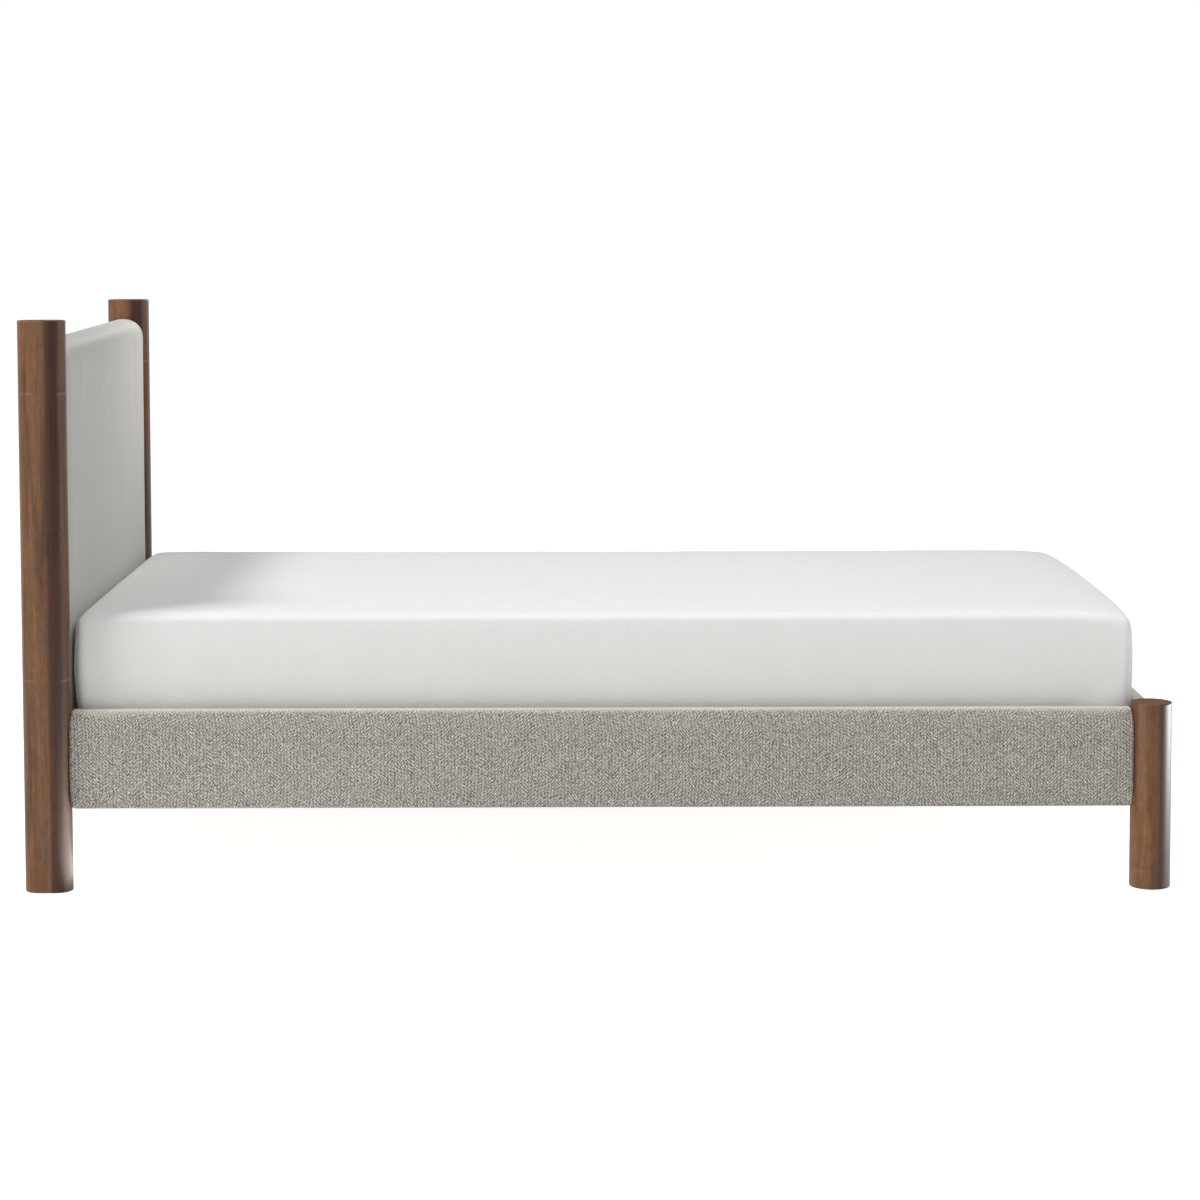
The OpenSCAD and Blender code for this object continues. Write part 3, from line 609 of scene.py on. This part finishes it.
# Each edge rounds off as an ellipse: the roll along the top, the ends as seen from the side
RAIL_EDGE = 6 * MM
RAIL_ROLL, RAIL_ROLL_H = 7 * MM, 34 * MM
RAIL_END_X, RAIL_END_Z = 8 * MM, 46 * MM
RAIL_MARGIN, RAIL_MARGIN_THICK = 48 * MM, 10 * MM
RAIL_CELL, RAIL_CELL_THICK = 8 * MM, 5 * MM
RAIL_EDGE_CELL = 4 * MM
RAIL_PUFF = 2.2 * MM
RAIL_SINK = 0.1 * MM
RAIL_GRIP_END = 30 * MM
RAIL_GRIP_BACK = 0.6
POCKET_R = 15 * MM
POCKET_SET = 47 * MM
# As a share of half the rail's thickness
POCKET_DEPTH = 0.6
SIDE_BOLTS = (45 * MM, 134 * MM)
FOOT_BOLTS = (65 * MM, 114 * MM)


def rail_cover(node, material, length_axis, inner, bolt_heights, core):
    """A padded rail cover along length_axis. inner is the sign of its inward face.

    The cloth is held at the ends and on the inward face, and it can't sink into the board.
    """
    low, high = cad_box(node)
    thick_axis = 1 - length_axis
    middle, half = (low + high) / 2, (high - low) / 2

    def inside(points):
        local = points - middle
        along, through, up = local[:, length_axis], local[:, thick_axis], local[:, 2]
        roll, roll_h = (np.where(up > 0, at_top, RAIL_EDGE) for at_top in (RAIL_ROLL, RAIL_ROLL_H))
        return (within_rounded(along, up, half[length_axis], half[2], RAIL_END_X, RAIL_END_Z)
                & within_rounded(through, up, half[thick_axis], half[2], roll, roll_h)
                & within_rounded(along, through, half[length_axis], half[thick_axis],
                                 RAIL_EDGE / 2, RAIL_EDGE / 2))

    margin, cell = np.full(3, RAIL_MARGIN), np.full(3, RAIL_CELL)
    margin[thick_axis], cell[thick_axis] = RAIL_MARGIN_THICK, RAIL_CELL_THICK
    points, quads = lattice_box(low, high, cell, RAIL_EDGE_CELL, 2 * RAIL_EDGE_CELL)
    points = drawn_in(points, low, high, margin, inside)
    piece = mesh_piece(node + "_boucle", points, quads, material)
    along = np.abs(points[:, length_axis] - middle[length_axis])
    from_end = half[length_axis] - along
    grip = np.clip(1 - from_end / RAIL_GRIP_END, 0, 1)
    inward = (points[:, thick_axis] - middle[thick_axis]) * inner
    grip = np.where(inward > half[thick_axis] * RAIL_GRIP_BACK, 1.0, grip)
    puffed(piece, pressure=4.0, cap=RAIL_PUFF, grip=grip, stiff=30.0, bend=4.0, sink=RAIL_SINK)
    subdivided(piece)

    cutters = [block("board", *cad_box(core))]
    for end in (low[length_axis] + POCKET_SET, high[length_axis] - POCKET_SET):
        for height in bolt_heights:
            centre = np.array(middle)
            centre[length_axis] = end
            centre[thick_axis] += inner * half[thick_axis]
            centre[2] = low[2] + height
            cutters.append(rod("pocket", centre, POCKET_R, thick_axis,
                               2 * POCKET_DEPTH * half[thick_axis]))
    cut(piece, cutters)
    cloth_coordinates(piece, [length_axis, thick_axis, 2])
    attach(piece, BED)
    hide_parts(node)


# Headboard: thick crowned pad on a frame, its cloth drawn down in faint upright puckers

# The crown falls by CROWN_FRONT_H over the front CROWN_FRONT, and by CROWN_BACK_H to the back
CROWN_FRONT, CROWN_FRONT_H = 45 * MM, 80 * MM
CROWN_BACK_H = 30 * MM
CROWN_POWER_X, CROWN_POWER_Z = 2.5, 4
PANEL_SIDE_R = 7 * MM
PANEL_ROLL_X, PANEL_ROLL_Y = 7 * MM, 60 * MM
PANEL_MARGIN = (20 * MM, 62 * MM, 85 * MM)
PANEL_CELL = 9 * MM
PANEL_PUFF = 2 * MM
PANEL_EASE = 3 * MM
PANEL_GRIP_BACK, PANEL_GRIP_FOOT, PANEL_GRIP_SIDE = 12 * MM, 20 * MM, 25 * MM
PUCKER_SEED = 11
PUCKER_GAP, PUCKER_W = (0.08, 0.26), (0.008, 0.016)
PUCKER_H, PUCKER_DOWN, PUCKER_SWAY = 2.2 * MM, 0.24, 0.016
SLACK_H = 1.0 * MM
FADE_IN, FADE_IN_BACK = 0.03, 20 * MM


def pucker_field(across, low, high):
    """How high, 0 to 1.2, upright puckers stand at places across the headboard."""
    draw = random.Random(PUCKER_SEED)
    rise = np.zeros(len(across))
    place = low
    while place < high:
        place += draw.uniform(*PUCKER_GAP)
        width = draw.uniform(*PUCKER_W)
        rise += draw.uniform(0.2, 1.0) * np.exp(-((across - place) / width) ** 2)
    return np.clip(rise, 0, 1.2)


def headboard_pad(material):
    """The headboard's cloth and foam, over its front, crown, sides and back edges."""
    low, high = cad_box("headboard_cover")
    front_x = high[0]
    high[0] -= PANEL_EASE
    middle, half = (low + high) / 2, (high - low) / 2
    peak_x = high[0] - CROWN_FRONT
    back_w = peak_x - low[0]

    def inside(points):
        x, y, z = points.T
        front = (x - peak_x) / CROWN_FRONT
        back = (peak_x - x) / back_w
        above_front = np.maximum(z - (high[2] - CROWN_FRONT_H), 0) / CROWN_FRONT_H
        above_back = np.maximum(z - (high[2] - CROWN_BACK_H), 0) / CROWN_BACK_H
        crown = np.where(
            x > peak_x,
            np.maximum(front, 0) ** CROWN_POWER_X + above_front ** CROWN_POWER_Z <= 1,
            np.maximum(back, 0) ** CROWN_POWER_X + above_back ** CROWN_POWER_Z <= 1)
        roll_x, roll_y = (np.where(x > middle[0], at_front, PANEL_SIDE_R)
                          for at_front in (PANEL_ROLL_X, PANEL_ROLL_Y))
        plan = within_rounded(x - middle[0], y, half[0], half[1], roll_x, roll_y)
        return crown & plan & (x <= high[0]) & (x >= low[0]) & (z >= low[2])

    points, quads = lattice_box(low, high, np.full(3, PANEL_CELL))
    points = drawn_in(points, low, high, np.array(PANEL_MARGIN), inside)
    piece = mesh_piece("headboard_pad", points, quads, material)
    held = (points[:, 0] < low[0] + PANEL_GRIP_BACK) | (points[:, 2] < low[2] + PANEL_GRIP_FOOT)
    side = half[1] - np.abs(points[:, 1])
    grip = np.maximum(np.where(held, 1.0, 0.0), np.clip(1 - side / PANEL_GRIP_SIDE, 0, 1))
    puffed(piece, pressure=4.0, cap=PANEL_PUFF, grip=grip, stiff=20.0, bend=3.0)
    subdivided(piece)

    # Puckers run over the crown and fade down the front; broad bands of slack go on below
    points, normals = points_of(piece), normals_of(piece)
    drop = high[2] - points[:, 2]
    sway = np.array([noise.noise(Vector((p[1] * 5, p[2] * 6, 3.3))) for p in points])
    rise = pucker_field(points[:, 1] + PUCKER_SWAY * sway, low[1], high[1])
    strength = np.clip(1 - drop / PUCKER_DOWN, 0, 1) * np.clip(drop / FADE_IN, 0.15, 1)
    swell = np.array([noise.noise(Vector((p[0] * 8, p[1] * 11, p[2] * 1.2))) for p in points])
    face = np.clip((points[:, 0] - low[0]) / FADE_IN_BACK, 0, 1)
    face *= np.clip((half[1] - np.abs(points[:, 1])) / FADE_IN, 0, 1)
    shift = (PUCKER_H * rise * strength + SLACK_H * swell) * face
    points = points + normals * shift[:, None]
    # Above the mattress the front may stand a little past the solid
    points[:, 0] = np.minimum(points[:, 0], front_x + PANEL_EASE * (strength > 0))
    set_points(piece, points)

    # Room for the frame and its board, open at the back
    space_low, space_high = cad_box("headboard_face_board")
    space_low[0] = low[0] - 10 * MM
    cut(piece, [block("frame_space", space_low, space_high)])
    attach(piece, BED)
    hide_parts("headboard_cover", "headboard_foam")


# Mattress: knitted cover over foam, soft edges, corners that droop a little

# How far it fills out past the solid: to the foot of the bed, to each side and up
MATTRESS_FULLNESS = np.array([1.5, 6.5, 6.0]) * MM
MATTRESS_CORNER = 20 * MM
MATTRESS_TOP_R = 13 * MM
MATTRESS_BOTTOM_R = 20 * MM
MATTRESS_CROWN, CROWN_RUN = 2 * MM, 0.34
SHOULDER_DROP, SHOULDER_RUN = 4 * MM, 38 * MM
MATTRESS_BELLY, BELLY_LEVEL = 7 * MM, 0.6
END_SWELL = 8 * MM
WAVE_H = 0.9 * MM
SEAM_DEPTH, SEAM_W = 1.6 * MM, 2.6 * MM
SEAM_RUN, SEAM_TOP, SEAM_FADE = 4 * MM, 0.94, 0.08
MATTRESS_CELL = 20 * MM
MATTRESS_EDGE_CELL = 4.5 * MM
MATTRESS_EDGE_RUN = 27 * MM
MATTRESS_PUFF = 3 * MM
MATTRESS_GRIP_BELOW, MATTRESS_GRIP_CORNER = 25 * MM, 50 * MM
HEAD_DROOP, FOOT_DROOP = 6 * MM, 13 * MM
DROOP_REACH = 0.06


def mattress_pad(material):
    """The mattress as one soft pad that fills out past its foam, except to the head and below."""
    low, high = cad_box("mattress_cover")
    low[1] -= MATTRESS_FULLNESS[1]
    high += MATTRESS_FULLNESS
    middle, half = (low + high) / 2, (high - low) / 2
    thick = high[2] - low[2]
    side_top = thick - MATTRESS_CROWN - SHOULDER_DROP - MATTRESS_TOP_R

    def in_from_outline(points):
        """How far points lie in from the mattress's outline in plan."""
        over = np.abs(points[:, :2] - middle[:2]) - (half[:2] - MATTRESS_CORNER)
        outside = np.linalg.norm(np.maximum(over, 0), axis=1)
        return MATTRESS_CORNER - outside - np.minimum(np.maximum(over[:, 0], over[:, 1]), 0)

    def inside(points):
        room = in_from_outline(points)
        up = points[:, 2] - low[2]
        level = np.clip((up - MATTRESS_BOTTOM_R) / (side_top - MATTRESS_BOTTOM_R), 0, 1)
        inset = MATTRESS_BELLY * np.where(
            level < BELLY_LEVEL, (1 - level / BELLY_LEVEL) ** 2, (level - BELLY_LEVEL) ** 2 * 3)
        below = np.clip((MATTRESS_BOTTOM_R - up) / MATTRESS_BOTTOM_R, 0, 1)
        inset += MATTRESS_BOTTOM_R * (1 - np.sqrt(1 - below ** 2))
        above = np.clip((up - side_top) / MATTRESS_TOP_R, 0, 1)
        inset += MATTRESS_TOP_R * (1 - np.sqrt(1 - above ** 2))
        run = np.clip(room / CROWN_RUN, 0, 1)
        ceiling = (thick - MATTRESS_CROWN * (1 - run) ** 2
                   - SHOULDER_DROP * np.exp(-room / SHOULDER_RUN))
        return (room >= inset) & (up <= ceiling) & (up >= 0)

    points, quads = lattice_box(low, high, np.full(3, MATTRESS_CELL), MATTRESS_EDGE_CELL,
                                MATTRESS_EDGE_RUN)
    points = drawn_in(points, low, high, np.full(3, MATTRESS_EDGE_RUN + 1 * MM), inside)
    piece = mesh_piece("mattress_pad", points, quads, material)
    up = points[:, 2] - low[2]
    grip = np.clip(1 - up / MATTRESS_GRIP_BELOW, 0, 1)
    to_corner = np.linalg.norm(half[:2] - np.abs(points[:, :2] - middle[:2]), axis=1)
    grip = np.maximum(grip, 0.9 * np.clip(1 - to_corner / MATTRESS_GRIP_CORNER, 0, 1))
    puffed(piece, pressure=2.5, cap=MATTRESS_PUFF, grip=grip, shrink=-0.012, stiff=8.0, bend=0.6)
    subdivided(piece)

    # Its foot end swells between the corners, and the corners droop
    points = points_of(piece)
    points[:, 0] = np.maximum(points[:, 0], low[0])
    up = np.clip((points[:, 2] - low[2]) / thick, 0, 1)
    at_foot = np.clip((points[:, 0] - middle[0]) / half[0], 0, 1) ** 6
    points[:, 0] += END_SWELL * at_foot * up * (1 - ((points[:, 1] - middle[1]) / half[1]) ** 2)
    to_corner = np.linalg.norm(half[:2] - np.abs(points[:, :2] - middle[:2]), axis=1)
    droop = np.where(points[:, 0] < middle[0], HEAD_DROOP, FOOT_DROOP)
    points[:, 2] -= droop * np.exp(-to_corner / DROOP_REACH) * up ** 2

    # The cover lies a little loose: long soft waves on top, slanting ones low on the sides
    normals = normals_of(piece)
    waves = np.array([
        0.5 * noise.noise(Vector((p[0] * 5, p[1] * 19, 2.1)))
        + 0.7 * noise.noise(Vector((p[0] * 15 + p[2] * 11, p[1] * 15, p[2] * 9 - p[0] * 5)))
        for p in points])
    loose = np.clip(up * 3, 0, 1)
    # An upright seam closes the cover at each corner
    offset = np.abs(points[:, :2] - middle[:2]) - (half[:2] - MATTRESS_CORNER)
    off_seam = np.abs(offset[:, 0] - offset[:, 1]) / math.sqrt(2)
    at_corner = np.clip(offset.min(axis=1) / SEAM_RUN, 0, 1)
    at_corner *= np.clip((SEAM_TOP - up) / SEAM_FADE, 0, 1)
    seam = SEAM_DEPTH * np.exp(-(off_seam / SEAM_W) ** 2) * at_corner
    points += normals * (WAVE_H * waves * loose - seam)[:, None]
    points[:, 2] = np.maximum(points[:, 2], low[2])
    points[:, 0] = np.maximum(points[:, 0], low[0])
    set_points(piece, points)
    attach(piece, MATTRESS)
    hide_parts("mattress_cover", "mattress_core", "mattress_comfort_layer")


# Thin cloth: the cloth on the headboard's back and the two straps under the slats

CLOTH_INSET = np.array([0.1, 0.5, 0.5]) * MM
CLOTH_HOLLOW = 1.2 * MM
STRAP_SAG = 1.5 * MM
SLAT_COUNT = 13


def within_span(places, start, end):
    """A bow over each place from start to end: 0 at both ends, 1 in the middle."""
    return np.sin(np.pi * np.clip((places - start) / (end - start), 0, 1))


def back_cloth(material):
    """Cloth stretched over the back of the frame, held in by the frame's edge."""
    low, high = cad_box("headboard_back_cloth")
    low, high = low + CLOTH_INSET, high - CLOTH_INSET
    points, quads = lattice_box(low, high, np.array([1.0, 12 * MM, 12 * MM]))
    # Between the members of the frame the cloth is drawn in a little
    left, right = (cad_box("headboard_stile_" + side) for side in SIDES)
    rails = [cad_box(f"headboard_{place}_rail") for place in ("bottom", "middle", "top")]
    inner = sorted([left[1][1], right[0][1]])
    for under, over in zip(rails, rails[1:]):
        across = within_span(points[:, 1], *inner)
        points[:, 0] += CLOTH_HOLLOW * across * within_span(points[:, 2], under[1][2], over[0][2])
    piece = mesh_piece("headboard_back_sheet", points, quads, material)
    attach(piece, BED)
    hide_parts("headboard_back_cloth")


def slat_boxes():
    """The corners of each slat, from the head of the bed to its foot."""
    return [cad_box(f"slat_{i:02d}") for i in range(1, SLAT_COUNT + 1)]


def slat_strap(side, material):
    """Webbing stapled under the slats, sagging a little between them."""
    node = "slat_strap_" + side
    low, high = cad_box(node)
    points, quads = lattice_box(low, high, np.array([9 * MM, 6 * MM, 1.0]))
    slats = slat_boxes()
    for one, other in zip(slats, slats[1:]):
        points[:, 2] -= STRAP_SAG * within_span(points[:, 0], one[1][0], other[0][0])
    piece = mesh_piece(node + "_webbing", points, quads, material)
    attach(piece, BED)
    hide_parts(node)


# Staples: round the edge of the back cloth, and through the straps into each slat

STAPLE_W, STAPLE_LEG, STAPLE_WIRE = 10 * MM, 2.5 * MM, 0.5 * MM
STAPLE_PITCH = 38 * MM
STAPLE_INSET = 8 * MM


def staple_tree(material):
    """Geometry nodes that set a wire staple at even steps along the edges of a mesh."""
    tree = bpy.data.node_groups.new("staples", "GeometryNodeTree")
    sockets = {
        name: tree.interface.new_socket(name, in_out="INPUT", socket_type="NodeSocket" + kind)
        for name, kind in (("Line", "Geometry"), ("Pitch", "Float"), ("Outward", "Vector"))
    }
    tree.interface.new_socket("Staples", in_out="OUTPUT", socket_type="NodeSocketGeometry")
    given = add(tree, "NodeGroupInput").outputs

    # One staple: a line of four points, bent into a crown and two legs
    wire = add(tree, "GeometryNodeMeshLine", {"Count": 4})
    number = math_node(tree, "SUBTRACT", add(tree, "GeometryNodeInputIndex").outputs[0], 1.5)
    leg = math_node(tree, "GREATER_THAN", math_node(tree, "ABSOLUTE", number), 1.0)
    bent = add(tree, "GeometryNodeSetPosition", {
        "Geometry": wire.outputs["Mesh"],
        "Position": add(tree, "ShaderNodeCombineXYZ", {
            "X": math_node(tree, "MULTIPLY", math_node(tree, "SIGN", number), STAPLE_W / 2),
            "Z": math_node(tree, "MULTIPLY", leg, -STAPLE_LEG),
        }).outputs["Vector"],
    })
    section = add(tree, "GeometryNodeCurvePrimitiveCircle", {
        "Resolution": 8, "Radius": STAPLE_WIRE / 2,
    })
    staple = add(tree, "GeometryNodeCurveToMesh", {
        "Curve": add(tree, "GeometryNodeMeshToCurve", {"Mesh": bent.outputs[0]}).outputs[0],
        "Profile Curve": section.outputs["Curve"], "Fill Caps": True,
    })

    path = add(tree, "GeometryNodeMeshToCurve", {"Mesh": given["Line"]})
    steps = add(tree, "GeometryNodeResampleCurve", {
        "Curve": path.outputs[0], "Length": given["Pitch"],
    }, mode="LENGTH")
    along = add(tree, "FunctionNodeAlignRotationToVector", {
        "Vector": add(tree, "GeometryNodeInputTangent").outputs[0],
    }, axis="X")
    turned = add(tree, "FunctionNodeAlignRotationToVector", {
        "Rotation": along.outputs[0], "Vector": given["Outward"],
    }, axis="Z", pivot_axis="X")
    placed = add(tree, "GeometryNodeInstanceOnPoints", {
        "Points": steps.outputs[0], "Instance": staple.outputs[0], "Rotation": turned.outputs[0],
    })
    real = add(tree, "GeometryNodeRealizeInstances", {"Geometry": placed.outputs[0]})
    dressed = add(tree, "GeometryNodeSetMaterial", {
        "Geometry": real.outputs[0], "Material": material,
    })
    add(tree, "NodeGroupOutput", {"Staples": dressed.outputs[0]})
    return tree, sockets


def staples(name, tree, sockets, points, edges, pitch, outward, material):
    """Staples a pitch apart along edges, their crowns outward, as a finished mesh on the frame."""
    mesh = bpy.data.meshes.new(name)
    mesh.from_pydata([tuple(p) for p in points], edges, [])
    piece = bpy.data.objects.new(name, mesh)
    bpy.context.scene.collection.objects.link(piece)
    nodes = piece.modifiers.new("staples", "NODES")
    nodes.node_group = tree
    nodes[sockets["Pitch"].identifier] = pitch
    nodes[sockets["Outward"].identifier] = outward
    applied(piece)
    piece.data.materials.clear()
    piece.data.materials.append(material)
    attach(piece, BED)


def frame_staples(material):
    tree, sockets = staple_tree(material)
    low, high = cad_box("headboard_back_cloth")
    back = low[0] - STAPLE_WIRE / 4
    y, z = ((low[axis] + STAPLE_INSET, high[axis] - STAPLE_INSET) for axis in (1, 2))
    ring = [(back, y[0], z[0]), (back, y[1], z[0]), (back, y[1], z[1]), (back, y[0], z[1])]
    staples("back_cloth_staples", tree, sockets, ring, [(0, 1), (1, 2), (2, 3), (3, 0)],
            STAPLE_PITCH, (-1, 0, 0), material)
    points, edges = [], []
    for side in SIDES:
        low, high = cad_box("slat_strap_" + side)
        for slat_low, slat_high in slat_boxes():
            middle = (slat_low[0] + slat_high[0]) / 2
            points += [(middle, edge, low[2] - STAPLE_WIRE / 4)
                       for edge in (low[1] + STAPLE_INSET, high[1] - STAPLE_INSET)]
            edges.append((len(points) - 2, len(points) - 1))
    staples("strap_staples", tree, sockets, points, edges, high[1] - low[1] - 2 * STAPLE_INSET,
            (0, 0, -1), material)


# Stage and light

FLOOR_HALF = 30.0
FLOOR_GLOW = 0.89
WORLD_FILL = 0.15


def seen_directly(tree):
    """1 for rays that the eye, a mirror or glass sends, which see a white background."""
    rays = add(tree, "ShaderNodeLightPath").outputs
    first = math_node(tree, "MAXIMUM", rays["Is Camera Ray"], rays["Is Glossy Ray"])
    return math_node(tree, "MAXIMUM", first, rays["Is Transmission Ray"])


def set_floor():
    """A plain pale floor that takes shadows, and that shows as the white of the background."""
    material = bpy.data.materials.new("studio_floor")
    material.use_nodes = True
    tree = material.node_tree
    tree.nodes.clear()
    plain = add(tree, "ShaderNodeBsdfDiffuse", {"Color": linear("#f2f2f0")})
    glow = add(tree, "ShaderNodeEmission", {"Color": (1, 1, 1, 1), "Strength": FLOOR_GLOW})
    shown = add(tree, "ShaderNodeAddShader", {0: plain.outputs[0], 1: glow.outputs[0]})
    both = add(tree, "ShaderNodeMixShader", {
        0: seen_directly(tree), 1: plain.outputs[0], 2: shown.outputs[0],
    })
    add(tree, "ShaderNodeOutputMaterial", {"Surface": both.outputs[0]})
    s = FLOOR_HALF
    floor = mesh_piece("floor", [(-s, -s, 0), (s, -s, 0), (s, s, 0), (-s, s, 0)],
                       [(0, 1, 2, 3)], material)


def set_world():
    world = bpy.data.worlds.new("studio")
    world.use_nodes = True
    tree = world.node_tree
    tree.nodes.clear()
    fill = add(tree, "ShaderNodeBackground", {"Color": linear("#fbfbfd"), "Strength": WORLD_FILL})
    white = add(tree, "ShaderNodeBackground", {"Color": (1, 1, 1, 1), "Strength": 1.0})
    both = add(tree, "ShaderNodeMixShader", {
        0: seen_directly(tree), 1: fill.outputs[0], 2: white.outputs[0],
    })
    add(tree, "ShaderNodeOutputWorld", {"Surface": both.outputs[0]})
    bpy.context.scene.world = world


def softbox(name, place, target, width, height, power, spread=180, gloss_only=False):
    """A softbox, or a reflector card if gloss_only. A grid narrows its beam to spread degrees."""
    data = bpy.data.lights.new(name, "AREA")
    data.shape = "RECTANGLE"
    data.size, data.size_y = width, height
    data.energy = power
    data.spread = math.radians(spread)
    lamp = bpy.data.objects.new(name, data)
    lamp.location = place
    aim = Vector(target) - Vector(place)
    lamp.rotation_euler = aim.to_track_quat("-Z", "Y").to_euler()
    lamp.visible_camera = False
    lamp.visible_diffuse = not gloss_only
    bpy.context.scene.collection.objects.link(lamp)


def set_lights():
    """The key comes over the head of the bed; the two cards only show in the posts' lacquer."""
    softbox("key_left", (-4.41, -2.48, 6.5), (-0.7, 0, 0.6), 1.65, 1.65, 312)
    softbox("overhead", (1.8, -2.1, 4.2), (0.2, 0, 0.4), 3.2, 2.4, 76)
    softbox("overhead_low", (0.3, 0.2, 2.7), (-0.2, 0, 0.4), 1.6, 1.2, 9)
    softbox("front_fill", (-3.4, -6.2, 1.6), (0, -0.5, 0.4), 3.0, 2.4, 52)
    softbox("headboard_side", (-0.45, 0.98, 1.25), (-0.93, 0.44, 0.93), 0.35, 0.35, 0.60, spread=58)
    softbox("foot_side", (2.0, -0.1, 0.2), (0.95, -0.45, 0.3), 1.2, 0.35, 4.2)
    softbox("foot_card", (2.6, -0.25, 0.10), (0.9, -0.5, 0.14), 1.2, 0.2, 40, gloss_only=True)
    softbox("head_card", (-0.62, -0.60, 0.004), (-0.62, -0.60, 1.0), 0.5, 0.5, 11, gloss_only=True)


# The bed

set_camera()
materials = make_materials()
for subpart in frame["record"]["subparts"]:
    for slot in frame["nodes"][subpart["node"]].material_slots:
        slot.material = materials[subpart["material_slot"]]

for side, sign in SIDES.items():
    rail_cover(f"side_rail_cover_{side}", materials["rail_boucle"], 0, -sign, SIDE_BOLTS,
               f"side_rail_core_{side}")
rail_cover("foot_rail_cover", materials["rail_boucle"], 1, -1, FOOT_BOLTS, "foot_rail_core")
headboard_pad(materials["headboard_fabric"])
back_cloth(materials["back_cloth"])
for side in SIDES:
    slat_strap(side, materials["strap_webbing"])
frame_staples(materials["zinc_steel"])
mattress_pad(materials["mattress_fabric"])
set_floor()
set_world()
set_lights()

view = bpy.context.scene.view_settings
view.view_transform = "Standard"
